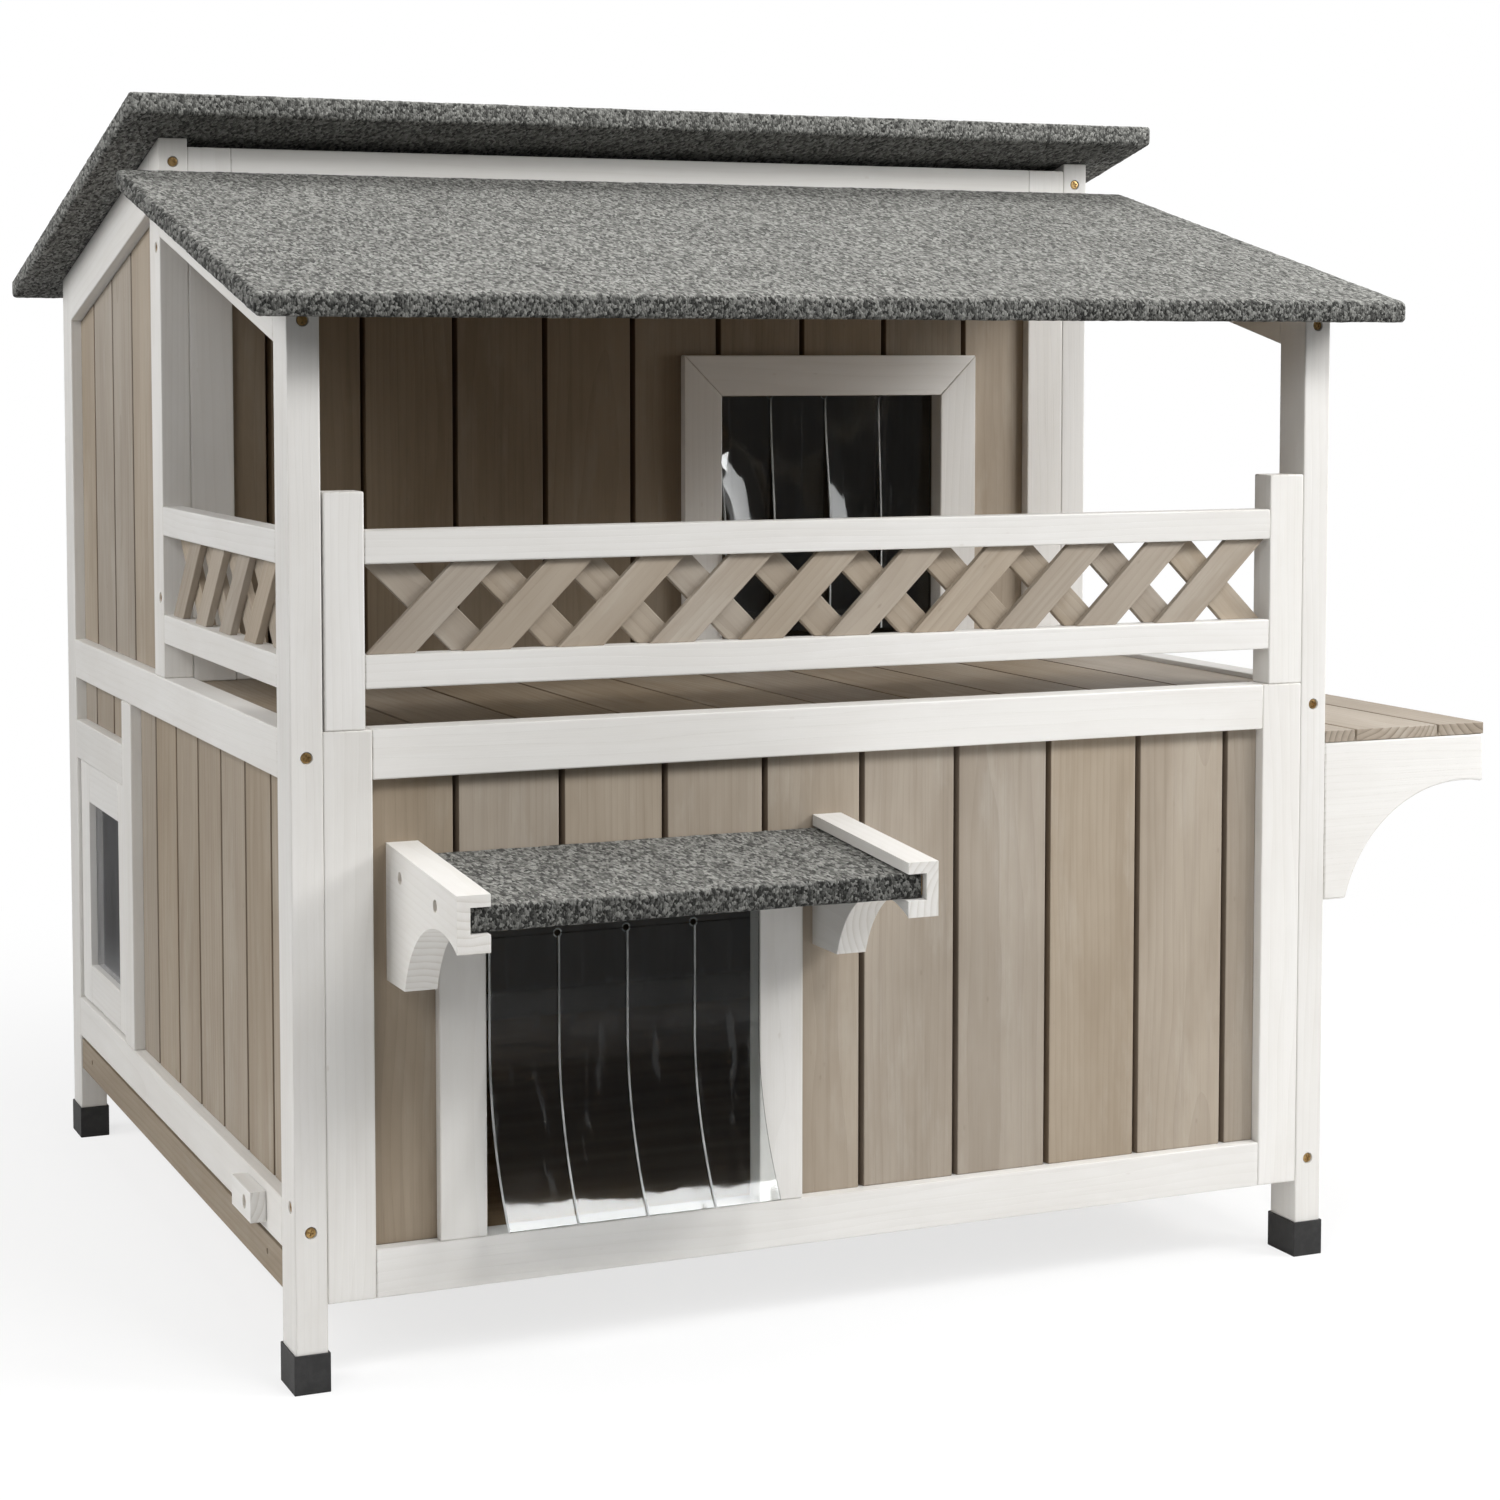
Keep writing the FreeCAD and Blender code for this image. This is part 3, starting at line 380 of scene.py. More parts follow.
CUT_EDGE_HIGHLIGHT = cut_edge("cut_edge")
FINISHES = {
    "white_wood": timber(
        "white_stained_wood",
        (
            colour(229, 227, 223),
            colour(223, 220, 215),
            colour(233, 231, 228),
            colour(192, 186, 175),
            colour(186, 175, 160),
            colour(190, 184, 174),
        ),
        (0.1, 0.08, 0.4, 0.5, 0.03),
        0.4,
    ),
    "taupe_boards": timber(
        "taupe_stained_wood",
        (
            colour(169, 156, 139),
            colour(156, 142, 124),
            colour(178, 168, 154),
            colour(124, 110, 93),
            colour(102, 88, 72),
            colour(112, 96, 78),
        ),
        (0.2, 0.28, 0.8, 0.6, 0.06),
        0.46,
    ),
    "roofing_felt": felt("slate_felt"),
    "plywood": plywood("plywood"),
    "black_rubber": rubber("black_rubber"),
    "brass_screws": plated("brass_plate", colour(196, 164, 112), colour(134, 106, 66)),
    "zinc_steel": plated("zinc_plate", colour(186, 188, 190), colour(140, 142, 145)),
    "clear_sheet": clear("clear_curtain", colour(240, 243, 243), 0.05, 0.25, 0.035),
    "clear_pane": clear("clear_pane", colour(232, 233, 238), 0.06, 0.1, 0.02),
}


# Pieces

SMOOTH_BELOW = math.radians(25)
SHARP_ABOVE = math.radians(32)
FLAT_WITHIN = math.radians(0.5)
SAME_PLACE = 1e-6


def crease(bm):
    """Marks sharp edges, and the lines where a rounding meets its flat faces."""
    arris = bm.faces.layers.float.get("arris")
    bm.normal_update()
    for edge in bm.edges:
        if len(edge.link_faces) == 2:
            one, other = edge.link_faces
            lip = arris is not None and one[arris] != other[arris]
            edge.smooth = not lip and edge.calc_face_angle() < SMOOTH_BELOW


def put(name, bm, slot, body, trim):
    """A finished mesh as a piece of the object: it rides on a body and wears the finish of a slot."""
    crease(bm)
    mesh = bpy.data.meshes.new(name)
    bm.to_mesh(mesh)
    bm.free()
    mesh.shade_smooth()
    mesh.materials.append(FINISHES[slot])
    if trim:
        mesh.materials.append(trim)
    piece = bpy.data.objects.new(name, mesh)
    scene.collection.objects.link(piece)
    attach(piece, body)
    return piece


def stand_for(node, bm, slot, name=None, trim=None):
    """A piece in the place of a CAD node, on the same body."""
    piece = put(name or node + "_finished", bm, slot, frame["nodes"][node]["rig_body"], trim)
    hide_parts(node)
    return piece


def solids_of(node):
    """The closed solids of a CAD node as sets of face numbers; one ends when every edge has met its twin."""
    mesh = frame["nodes"][node].data
    spots = [tuple(round(part, 6) for part in vert.co) for vert in mesh.vertices]
    found, faces, waiting = [], [], set()
    for face in mesh.polygons:
        faces.append(face.index)
        ring = [spots[index] for index in face.vertices]
        for edge in zip(ring, ring[1:] + ring[:1]):
            if edge[::-1] in waiting:
                waiting.remove(edge[::-1])
            else:
                waiting.add(edge)
        if not waiting:
            found.append(set(faces))
            faces = []
    return found


def make_whole(bm):
    """Merges doubled points and joins the triangles of flat faces."""
    bmesh.ops.remove_doubles(bm, verts=bm.verts, dist=SAME_PLACE)
    bmesh.ops.dissolve_limit(bm, angle_limit=FLAT_WITHIN, verts=bm.verts, edges=bm.edges)


def copy_solid(node, faces):
    """One solid of a CAD node, merged, with its flat faces made whole."""
    bm = bmesh.new()
    bm.from_mesh(frame["nodes"][node].data)
    bm.faces.ensure_lookup_table()
    others = [face for face in bm.faces if face.index not in faces]
    bmesh.ops.delete(bm, geom=others, context="FACES")
    make_whole(bm)
    return bm


def round_over(bm, edges, radius, steps):
    return bmesh.ops.bevel(
        bm,
        geom=edges,
        offset=radius,
        offset_type="OFFSET",
        segments=steps,
        profile=0.5,
        affect="EDGES",
        clamp_overlap=True,
        material=-1,
    )


def ease(bm, radius):
    """Rounds the sharp outer edges and marks the rounding as arris."""
    mark = bm.faces.layers.float.new("arris")
    sharp = [
        edge
        for edge in bm.edges
        if len(edge.link_faces) == 2 and edge.is_convex and edge.calc_face_angle() > SHARP_ABOVE
    ]
    for face in round_over(bm, sharp, radius, 2)["faces"]:
        face[mark] = 1.0


def longest_way(bm):
    edge = max(bm.edges, key=lambda edge: edge.calc_length())
    return (edge.verts[1].co - edge.verts[0].co).normalized()


def middle_of(bm):
    return sum((vert.co for vert in bm.verts), Vector()) / len(bm.verts)


def box_of(bm):
    """The lowest and the highest corner of a mesh."""
    spots = [vert.co for vert in bm.verts]
    low = Vector([min(spot[axis] for spot in spots) for axis in range(3)])
    high = Vector([max(spot[axis] for spot in spots) for axis in range(3)])
    return low, high


def lay_grain(bm, along, chance, painted_shade):
    """Gives each point its place in the log it was sawn from, the stick its own tone, lowered by any painted
    shade, and marks its ends.
    """
    grain = bm.verts.layers.float_vector.new("grain")
    tone = bm.verts.layers.float.new("tone")
    end = bm.faces.layers.float.new("end")
    bm.normal_update()
    for face in bm.faces:
        face[end] = min(1.0, abs(face.normal.dot(along)) * 1.5)
    side = along.orthogonal().normalized()
    up = along.cross(side)
    middle = middle_of(bm)
    reach = chance.uniform(0.03, 0.075)
    turn = chance.uniform(0, math.tau)
    start = chance.uniform(0, 9)
    shade = chance.random() - painted_shade
    for vert in bm.verts:
        place = vert.co - middle
        vert[grain] = (
            place.dot(along) + start,
            place.dot(side) + reach * math.cos(turn),
            place.dot(up) + reach * math.sin(turn),
        )
        vert[tone] = shade


def gather(parts):
    """Several bmeshes in one."""
    whole = bmesh.new()
    for part in parts:
        mesh = bpy.data.meshes.new("part")
        part.to_mesh(mesh)
        part.free()
        whole.from_mesh(mesh)
        bpy.data.meshes.remove(mesh)
    return whole


def carve(bm, tool, operation="DIFFERENCE"):
    """bm with the closed shape of tool taken out of it, or joined to it."""
    objects = []
    for name, shape in (("work", bm), ("tool", tool)):
        mesh = bpy.data.meshes.new(name)
        shape.to_mesh(mesh)
        shape.free()
        item = bpy.data.objects.new(name, mesh)
        scene.collection.objects.link(item)
        objects.append(item)
    work, cutter = objects
    cut = work.modifiers.new("cut", "BOOLEAN")
    cut.operation = operation
    cut.solver = "EXACT"
    cut.object = cutter
    graph = bpy.context.evaluated_depsgraph_get()
    result = bpy.data.meshes.new_from_object(work.evaluated_get(graph))
    out = bmesh.new()
    out.from_mesh(result)
    bpy.data.meshes.remove(result)
    for item in objects:
        bpy.data.meshes.remove(item.data)
    return out


DOOR_MIDDLE = at(210, 0, 0).x


def screw_places():
    """Head radius, head height, seat and outward way of each screw of the CAD node."""
    for faces in solids_of("screws"):
        bm = copy_solid("screws", faces)
        spots = [vert.co.copy() for vert in bm.verts]
        low, high = box_of(bm)
        bm.free()
        span = high - low
        axis = max(range(3), key=lambda index: span[index])
        cross = (axis + 1) % 3
        edge = [spot for spot in spots if spot[cross] > high[cross] - 1e-5]
        seat, top = min(spot[axis] for spot in edge), max(spot[axis] for spot in edge)
        place = (low + high) / 2
        plain = top - seat > 0.9 * span[axis]
        outward = Vector((0, 0, 0))
        if plain:
            outward[axis] = 1 if place.x > DOOR_MIDDLE else -1
        else:
            outward[axis] = 1 if abs(top - high[axis]) < abs(seat - low[axis]) else -1
        place[axis] = seat if outward[axis] > 0 else top
        yield span[cross] / 2, top - seat, place, outward


SCREWS = list(screw_places())
CANOPY_HOLE = 3.8 * MM
HEAD_SHARE = 0.92  # of the hole that a screw head lies in
SEAT_DEPTH = 3.2 * MM
NEAR = 0.1 * MM


def is_frame_screw(radius, proud):
    """True for the screws through the posts, which have wide and low heads."""
    return radius > 3.0 * MM and proud < 2.0 * MM


def is_canopy_screw(proud):
    """True for the plain shanks that hold the canopy in its corbels."""
    return proud > 9 * MM


def facing(place, outward):
    """Moves a shape made about the origin, on +Z, to a place on a face."""
    return Matrix.Translation(place) @ outward.to_track_quat("Z", "Y").to_matrix().to_4x4()


def counterbore(bm):
    """Bores the deep holes of the canopy screws into a corbel."""
    low, high = box_of(bm)
    holes = []
    for _, proud, place, outward in SCREWS:
        if is_canopy_screw(proud) and low.x - NEAR < place.x < high.x + NEAR:
            hole = bmesh.new()
            bmesh.ops.create_cone(
                hole, cap_ends=True, segments=32, radius1=CANOPY_HOLE, radius2=CANOPY_HOLE, depth=9 * MM
            )
            hole.transform(facing(place + outward * (proud + 3.5 * MM), outward))
            holes.append(hole)
    return carve(bm, gather(holes))


def countersink(bm):
    """Sinks the seats of the frame screws that lie on this stick."""
    low, high = box_of(bm)
    seats = []
    for radius, proud, place, outward in SCREWS:
        within = all(low[axis] - NEAR < place[axis] < high[axis] + NEAR for axis in range(3))
        if is_frame_screw(radius, proud) and within:
            seat = bmesh.new()
            bottom, mouth = radius * HEAD_SHARE, radius * 1.14
            bmesh.ops.create_cone(
                seat, cap_ends=True, segments=32, radius1=bottom, radius2=mouth, depth=SEAT_DEPTH
            )
            seat.transform(facing(place, outward) @ Matrix.Translation((0, 0, -1.3 * MM)))
            seats.append(seat)
    return carve(bm, gather(seats)) if seats else bm


SEAMS = {"front_boards": (120,), "wall_boards": (595,)}
SHELTERED = at(600, 0, 0).x  # boards left of this line lie under the awning and are drawn darker, as painted shade
DOOR_SIDE = at(120, 0, 0).x  # front boards left of this line are drawn darker, as painted shade
NEWEL_GAP = 1.3 * MM
FASCIA_GAP = 1.6 * MM
END_DEPTH = 1.5 * MM  # reaches over the eased end of a stick
TOUCHING = 0.02 * MM


def mark_grooves(bm, along):
    """Marks the sides of a board, where the dark stain gathers."""
    groove = bm.faces.layers.float.new("groove")
    low, high = box_of(bm)
    thin = min(range(3), key=lambda axis: high[axis] - low[axis])
    for face in bm.faces:
        if abs(face.normal[thin]) < 0.7 and abs(face.normal.dot(along)) < 0.5:
            face[groove] = 1.0


def join_at(solids, seams):
    """A board that the side of a doorway splits into two solids is one notched board again."""
    for seam in seams:
        place = at(seam, 0, 0).x
        near = [bm for bm in solids if any(abs(vert.co.x - place) < TOUCHING for vert in bm.verts)]
        if len(near) == 2:
            solids = [bm for bm in solids if bm not in near]
            board = carve(*near, "UNION")
            make_whole(board)
            solids.append(board)
    return solids


def draw_in(bm, way, gap):
    """Takes the end of a stick back along a way, so that a gap shows beside it."""
    start = min(vert.co.dot(way) for vert in bm.verts)
    for vert in bm.verts:
        if vert.co.dot(way) < start + END_DEPTH:
            vert.co += way * gap


def sawn(node, slot, radius, along=None, grooved=False, painted_shade=0.0):
    """The sticks or boards of a CAD node, eased and with grain along each; those left of a line are drawn
    darker, as painted shade.
    """
    parts = []
    solids = [copy_solid(node, faces) for faces in solids_of(node)]
    for index, bm in enumerate(join_at(solids, SEAMS.get(node, ()))):
        way = along or longest_way(bm)
        bm.normal_update()
        if grooved:
            mark_grooves(bm, way)
        ease(bm, radius)
        if node.startswith("post"):
            bm = countersink(bm)
        if node == "door_corbels":
            bm = counterbore(bm)
        if node == "railing_newels" and middle_of(bm).x < 0:
            draw_in(bm, RIGHT, NEWEL_GAP)
        if node == "tray_fascia":
            draw_in(bm, -UP, FASCIA_GAP)
        # Painted shade: boards left of the line get a lower tone.
        line = DOOR_SIDE if node == "front_boards" else SHELTERED
        stain = painted_shade if middle_of(bm).x < line else 0.0
        lay_grain(bm, way, random.Random(f"{node} {index}"), stain)
        parts.append(bm)
    stand_for(node, gather(parts), slot)


STICKS = [
    "post_front_left", "post_front_right", "post_back_left", "post_back_right",
    "post_mid_left", "post_mid_right", "front_stiles", "front_rails", "doorway_frame",
    "railing_newels", "railing_rails", "side_railing_rails", "floor_bearers", "side_floor_rails",
    "side_rake_rails", "left_bottom_rail", "right_bottom_rail", "escape_surround", "back_rails",
    "wall_stiles", "wall_rails", "hatch_trim", "awning_rafters", "escape_door_frame", "tray_runners",
]
for node in STICKS:
    sawn(node, "white_wood", 1.0 * MM)

for node, radius in (("door_corbels", 2.6), ("shelf_brackets", 1.5), ("turn_button", 1.8)):
    sawn(node, "white_wood", radius * MM)

# Painted shade: boards left of the line are drawn darker, most on the upper wall under the awning, then the
# front boards beside the doorway, and the left wall a little.
WALL_PAINTED_SHADE = {
    "front_boards": 1.5, "left_boards": 0.6, "right_boards": 0, "back_boards": 0, "wall_boards": 2.6,
}
for node, painted_shade in WALL_PAINTED_SHADE.items():
    sawn(node, "taupe_boards", 0.7 * MM, UP, grooved=True, painted_shade=painted_shade)

# The balcony floor boards are drawn darker, as painted shade.
sawn("floor_boards", "taupe_boards", 0.5 * MM, BACK, grooved=True, painted_shade=1.7)
sawn("shelf_boards", "taupe_boards", 0.5 * MM, BACK)

# The tray fascia is drawn darker, as painted shade.
for node, painted_shade in (("railing_lattice", 0), ("side_lattice", 0), ("tray_fascia", 1.8)):
    sawn(node, "taupe_boards", 0.6 * MM, painted_shade=painted_shade)

for node in ("awning_board", "roof_board", "canopy_board", "tray_floor"):
    sawn(node, "plywood", 0.4 * MM, RIGHT)

for node in ("hinge_wall_leaves", "hinge_roof_leaves", "hinge_pins"):
    sawn(node, "zinc_steel", 0.25 * MM)

sawn("foot_caps", "black_rubber", 0.55 * MM)
sawn("escape_door_pane", "clear_pane", 0.2 * MM)


# Roofing felt

GRIT_STEP = 3.0 * MM
ROOF_THICK = 15.0 * MM
CANOPY_THICK = 15.6 * MM
FELT_LAP = 52 * MM
FELT_TOP = 2.4 * MM
AWNING_SLOPE, ROOF_SLOPE, CANOPY_SLOPE = 0.2415, -0.255, 10 / 136  # rise towards the back


def grid_cuts(bm, axis, span):
    """Cuts right through a shape at even steps along one axis."""
    normal = Vector((0, 0, 0))
    normal[axis] = 1
    steps = int(span / GRIT_STEP)
    for step in range(1, steps):
        geom = list(bm.verts) + list(bm.edges) + list(bm.faces)
        place = normal * (span * step / steps - span / 2)
        bmesh.ops.bisect_plane(bm, geom=geom, dist=1e-7, plane_co=place, plane_no=normal)


def felt_slab(node, slope, thick, lap, tone, radius):
    """Felt wrapped round a roof board: rounded arrises, rough grit, and a margin turned in below."""
    low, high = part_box(node)
    size = Vector((high.x - low.x, high.y - low.y, thick))
    bm = bmesh.new()
    bmesh.ops.create_cube(bm, size=1.0, matrix=Matrix.Diagonal((*size, 1.0)))
    round_over(bm, list(bm.edges), radius, 4)
    if lap:
        bottom = min(bm.faces, key=lambda face: face.calc_center_median().z)
        bmesh.ops.inset_region(bm, faces=[bottom], thickness=lap - radius, use_even_offset=True)
        pocket = bmesh.ops.extrude_discrete_faces(bm, faces=[bottom])["faces"][0]
        bmesh.ops.translate(bm, verts=pocket.verts, vec=(0, 0, thick - FELT_TOP))
    grid_cuts(bm, 0, size.x)
    grid_cuts(bm, 1, size.y)
    bm.normal_update()
    bend = bm.verts.layers.float.new("bend")
    shade = bm.verts.layers.float.new("tone")
    ways = {vert: vert.normal.copy() for vert in bm.verts}
    middle = (low + high) / 2
    for vert, way in ways.items():
        # Painted shade on the faces that turn away from up: the sides and the underside.
        vert[bend] = 1 - max(0.0, way.z) ** 3
        vert[shade] = tone
        grit = noise.noise(vert.co * 420) * 0.34 + noise.noise(vert.co * 45) * 0.3
        vert.co += way * (grit - 0.4) * MM
        vert.co.z += vert.co.y * slope
        vert.co += middle
    stand_for(node, bm, "roofing_felt")


felt_slab("awning_felt", AWNING_SLOPE, ROOF_THICK, FELT_LAP, 0.02, 4.0 * MM)
felt_slab("roof_felt", ROOF_SLOPE, ROOF_THICK, FELT_LAP + 24 * MM, 0.13, 3.5 * MM)
felt_slab("canopy_felt", CANOPY_SLOPE, CANOPY_THICK, 0, -0.03, 3.0 * MM)


# Screws

def screw_head(radius, top, length):
    """A cross-head screw end along Z, with its rim at the given height."""
    bm = bmesh.new()
    bmesh.ops.create_cone(bm, cap_ends=True, segments=28, radius1=radius, radius2=radius, depth=length)
    bmesh.ops.translate(bm, verts=bm.verts, vec=(0, 0, top - length / 2))
    rim = [edge for edge in bm.edges if all(vert.co.z > top - 1e-6 for vert in edge.verts)]
    round_over(bm, rim, radius * 0.14, 3)
    for turn in (0, 90):
        arm = bmesh.new()
        bmesh.ops.create_cube(arm, size=1.0)
        bmesh.ops.scale(arm, verts=arm.verts, vec=(radius * 1.3, radius * 0.34, radius * 0.6))
        arm.transform(Matrix.Translation((0, 0, top)) @ Matrix.Rotation(math.radians(turn), 4, "Z"))
        bm = carve(bm, arm)
    return bm


heads = []
for index, (radius, proud, place, outward) in enumerate(SCREWS):
    if is_frame_screw(radius, proud):
        bm = screw_head(radius * HEAD_SHARE, -0.6 * MM, 2.2 * MM)
    elif is_canopy_screw(proud):
        bm = screw_head(CANOPY_HOLE * HEAD_SHARE, proud + 0.5 * MM, 1.4 * MM)
    else:
        bm = screw_head(radius, proud, proud)
    turn = Matrix.Rotation(random.Random(index).uniform(0, math.pi / 2), 4, "Z")
    bm.transform(facing(place, outward) @ turn)
    heads.append(bm)
stand_for("screws", gather(heads), "brass_screws")


# Clear curtains

SHEET = 1.0 * MM  # thickness
PUNCH = 2.3 * MM  # radius of the holes that end the slits
HIGHLIGHT_BAND = 1.1 * MM  # a band of painted highlight along a strip's cut side
SLIT = 0.8 * MM
HEAD_GAP = 0.3 * MM  # from the hinge line up to the head
STRIP_GAP = 0.55 * MM  # from the hinge line down to the strips, room for them to swing


def punch(bm, places):
    """Takes the round holes that end the slits out of a sheet, and marks their walls as cut edge."""
    if not places:
        return bm
    tools = []
    for place in places:
        tool = bmesh.new()
        bmesh.ops.create_cone(tool, cap_ends=True, segments=20, radius1=PUNCH, radius2=PUNCH, depth=8 * MM)
        tool.transform(Matrix.Translation(place) @ Matrix.Rotation(math.radians(90), 4, "X"))
        tools.append(tool)
    bm = carve(bm, gather(tools))
    bm.normal_update()
    for face in bm.faces:
        middle = face.calc_center_median()
        if abs(face.normal.y) < 0.2 and any((middle - place).length < PUNCH * 1.1 for place in places):
            face.material_index = 1
    return bm


def hole_rim(place, cuts):
    """The raised rim that a punch leaves round a hole, cut off where the next part of the sheet begins."""
    rim = bmesh.new()
    bmesh.ops.create_circle(rim, segments=8, radius=0.5 * MM)
    bmesh.ops.translate(rim, verts=rim.verts, vec=(PUNCH + 0.2 * MM, 0, 0))
    geom = list(rim.verts) + list(rim.edges)
    bmesh.ops.spin(
        rim, geom=geom, cent=(0, 0, 0), axis=BACK, dvec=(0, 0, 0), angle=math.tau, steps=24, use_merge=True
    )
    bmesh.ops.remove_doubles(rim, verts=rim.verts, dist=SAME_PLACE)
    for way, gap in cuts:
        geom = list(rim.verts) + list(rim.edges) + list(rim.faces)
        bmesh.ops.bisect_plane(rim, geom=geom, dist=1e-7, plane_co=way * gap, plane_no=way, clear_inner=True)
        bmesh.ops.holes_fill(rim, edges=[edge for edge in rim.edges if edge.is_boundary])
    bmesh.ops.recalc_face_normals(rim, faces=rim.faces)
    bmesh.ops.translate(rim, verts=rim.verts, vec=place)
    for face in rim.faces:
        face.material_index = 1
    return rim


def slit_ends(first, last):
    """Where the three slits of a curtain end, from the boxes of its outer strips."""
    low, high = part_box(first)[0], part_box(last)[1]
    pitch = (high.x - low.x + SLIT) / 4
    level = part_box(first)[1].z + HEAD_GAP
    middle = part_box(first)[1].y - SHEET / 2
    return [Vector((low.x + pitch * number - SLIT / 2, middle, level)) for number in (1, 2, 3)]


def curtain_head(name, index, ends):
    """The uncut upper margin of a curtain, fixed flat behind or before its doorway."""
    bm = copy_solid("curtain_heads", solids_of("curtain_heads")[index])
    bm = gather([punch(bm, ends), *[hole_rim(end, [(UP, HEAD_GAP)]) for end in ends]])
    piece = stand_for("curtain_heads", bm, "clear_sheet", name, CUT_EDGE_HIGHLIGHT)


def hang_strip(node, drop, radius, turn, waves, flick, head, ends):
    """A strip of clear sheet that hangs straight for a while and then curls outward."""
    low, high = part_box(node)
    middle = high.y - SHEET / 2
    level = high.z + HEAD_GAP - STRIP_GAP
    drop -= high.z - level
    bm = bmesh.new()
    top = [bm.verts.new((x, middle, level)) for x in (low.x, high.x)]
    edge = bm.edges.new(top)
    rows = 20
    for _ in range(rows):
        made = bmesh.ops.extrude_edge_only(bm, edges=[edge])["geom"]
        verts = [item for item in made if isinstance(item, bmesh.types.BMVert)]
        edges = [item for item in made if isinstance(item, bmesh.types.BMEdge)]
        bmesh.ops.translate(bm, verts=verts, vec=(0, 0, -drop / rows))
        edge = next(item for item in edges if set(item.verts) == set(verts))
    if turn:
        centre = (0, middle - radius, level - drop)
        bmesh.ops.spin(
            bm, geom=[edge, *edge.verts], cent=centre, axis=(1, 0, 0), dvec=(0, 0, 0), angle=-turn, steps=24
        )
    across = [item for item in bm.edges if abs(item.verts[0].co.z - item.verts[1].co.z) < 1e-7]
    bmesh.ops.subdivide_edges(bm, edges=across, cuts=11, use_grid_fill=True)
    geom = list(bm.verts) + list(bm.edges) + list(bm.faces)
    # A band along the strip's left side wears the cut edge's painted highlight.
    bmesh.ops.bisect_plane(bm, geom=geom, dist=1e-7, plane_co=(low.x + HIGHLIGHT_BAND, 0, 0), plane_no=(1, 0, 0))
    for face in bm.faces:
        if face.calc_center_median().x < low.x + HIGHLIGHT_BAND:
            face.material_index = 1
    length = high.z - low.z
    chance = random.Random(node)
    shift = chance.uniform(0, 50)
    for vert in bm.verts:
        share = (high.z - vert.co.z) / length
        side = (vert.co.x - (low.x + high.x) / 2) / (high.x - low.x)
        wave = noise.noise(Vector((vert.co.x * 22 + shift, vert.co.z * 16, 0)))
        bow = (0.25 - side * side) * 2
        swing = min(1.0, share / 0.6)
        lift = flick * (0.5 - side) ** 2 * swing * swing * (3 - 2 * swing)
        vert.co.y -= waves * share * (bow + wave) + lift
    faces = list(bm.faces)
    bmesh.ops.recalc_face_normals(bm, faces=faces)
    bmesh.ops.solidify(bm, geom=faces + list(bm.edges) + list(bm.verts), thickness=SHEET)
    upper = [vert.co.y for vert in bm.verts if vert.co.z > level - NEAR]
    bmesh.ops.translate(bm, verts=bm.verts, vec=(0, middle - (min(upper) + max(upper)) / 2, 0))
    near = [end for end in ends if low.x - SLIT < end.x < high.x + SLIT]
    bm = punch(bm, near)
    parts = [bm]
    for end in near:
        side = RIGHT if end.x < (low.x + high.x) / 2 else -RIGHT
        parts.append(hole_rim(end, [(-UP, STRIP_GAP), (side, SLIT / 2)]))
    bm = gather(parts)
    bm.normal_update()
    piece = stand_for(node, bm, "clear_sheet", trim=CUT_EDGE_HIGHLIGHT)


front_ends = slit_ends("front_strip_1", "front_strip_4")
hatch_ends = slit_ends("hatch_strip_1", "hatch_strip_4")
curtain_head("front_curtain_head", 0, front_ends)
curtain_head("hatch_curtain_head", 1, hatch_ends)
FRONT_HANG = (64.2 * MM, 181 * MM, math.radians(36), 0.5 * MM)  # drop, radius and turn of the curl, waves
HATCH_HANG = (176 * MM, 0, 0, 2.2 * MM)
for number, flick in ((1, 19), (2, 7), (3, 10), (4, 5)):
    hang_strip(f"front_strip_{number}", *FRONT_HANG, 0, "front_curtain_head", front_ends)
    hang_strip(f"hatch_strip_{number}", *HATCH_HANG, flick * MM, "hatch_curtain_head", hatch_ends)


# Stage and light

def area_lamp(name, place, target, width, height, watts):
    lamp = bpy.data.lights.new(name, "AREA")
    lamp.shape = "RECTANGLE"
    lamp.size = width
    lamp.size_y = height
    lamp.energy = watts
    holder = bpy.data.objects.new(name, lamp)
    holder.location = place
    holder.rotation_euler = (Vector(target) - Vector(place)).to_track_quat("-Z", "Y").to_euler()
    scene.collection.objects.link(holder)


area_lamp("right_softbox", (1.85, -1.35, 1.5), (0.1, 0, 0.35), 1.2, 0.8, 43)
area_lamp("front_softbox", (0.45, -1.9, 2.1), (-0.1, -0.3, 0.3), 1.0, 0.6, 25)
area_lamp("left_softbox", (-2.4, 0.35, 1.5), (-0.3, 0, 0.35), 1.5, 1.3, 35)
area_lamp("near_softbox", (-1.6, -1.75, 1.5), (-0.3, -0.2, 0.35), 0.9, 0.9, 12)
area_lamp("top_softbox", (0.1, -0.1, 2.7), (0.1, 0, 0.3), 1.8, 1.6, 24)
area_lamp("balcony_lamp", (1.15, -0.4, 0.62), (0.1, 0.03, 0.5), 0.5, 0.4, 2.9)

AMBIENT = 0.1
FLOOR_GLOSS = 0.04


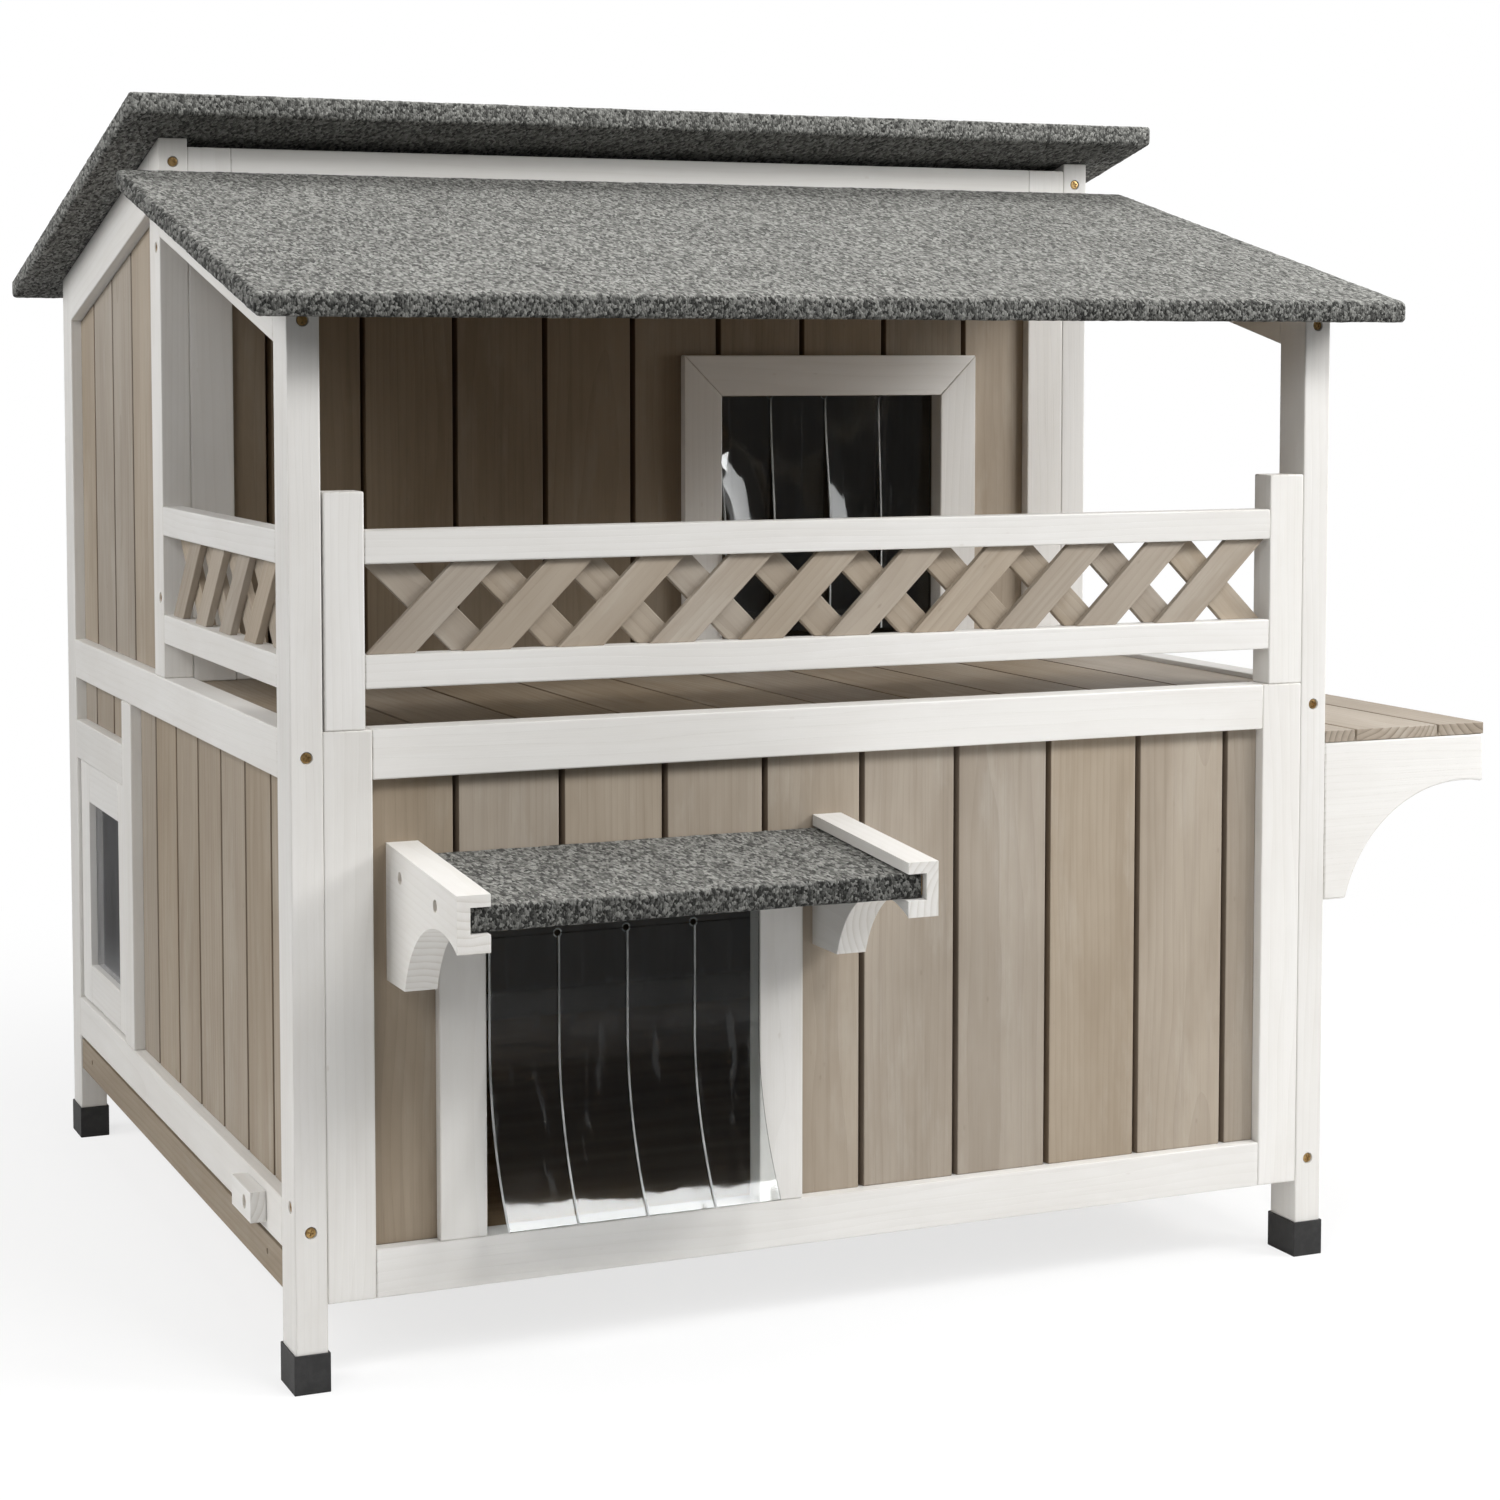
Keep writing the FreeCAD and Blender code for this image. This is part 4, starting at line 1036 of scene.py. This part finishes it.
def seen_directly(start, gloss_share):
    """1 for camera rays, also through clear sheet, a share for mirrored ones, 0 for lighting rays."""
    names = ("Is Camera Ray", "Is Glossy Ray", "Is Transmission Ray", "Glossy Depth", "Diffuse Depth")
    eye, gloss, sheet, mirrors, bounces = [start.node("LightPath", {}, {}, name) for name in names]
    less = {"operation": "SUBTRACT", "use_clamp": True}
    straight = start.node("Math", less, {0: sheet, 1: mirrors})
    seen = eye + straight + (gloss + sheet - straight) * gloss_share
    return start.node("Math", less, {0: seen, 1: bounces * 3})


world = bpy.data.worlds.new("studio")
world.use_nodes = True
world.node_tree.nodes.clear()
scene.world = world
start = Socket(world.node_tree)
way = start.node("SeparateXYZ", {}, {0: start.node("TexCoord", {}, {}, "Generated")}, "Y")
strength = AMBIENT + seen_directly(start, way.above(-0.5, 0.7)) * (1 - AMBIENT)
backdrop = start.node("Background", {}, {"Color": (1, 1, 1, 1), "Strength": strength})
world_out = world.node_tree.nodes.new("ShaderNodeOutputWorld")
world.node_tree.links.new(backdrop.link, world_out.inputs["Surface"])

floor_finish, start = new_finish("pale_floor")
place = object_place(start)
away = start.node("VectorMath", {"operation": "LENGTH"}, {0: place.stretched(1, 1, 0)}, "Value")
speck = place.stretched(30, 30, 30).noise(3)
paper = start.mixed(speck, colour(240, 240, 240), colour(244, 244, 244))
eyes = seen_directly(start, FLOOR_GLOSS)
dull = paper.toward(colour(80, 80, 80), away.above(0.75, 0.6))
paper = dull.toward(paper, eyes)
matt = start.node("BsdfDiffuse", {}, {"Color": paper, "Roughness": 1.0})
glow = start.node("Emission", {}, {"Color": (1, 1, 1, 1), "Strength": 1.0})
share = eyes * (0.74 + away.above(0.5, 0.9) * 0.26)
close_finish(start, start.node("MixShader", {}, {0: share, 1: matt, 2: glow}))

ground = bmesh.new()
bmesh.ops.create_grid(ground, x_segments=4, y_segments=4, size=9)
floor_mesh = bpy.data.meshes.new("floor")
ground.to_mesh(floor_mesh)
ground.free()
floor_mesh.materials.append(floor_finish)
floor = bpy.data.objects.new("floor", floor_mesh)
scene.collection.objects.link(floor)
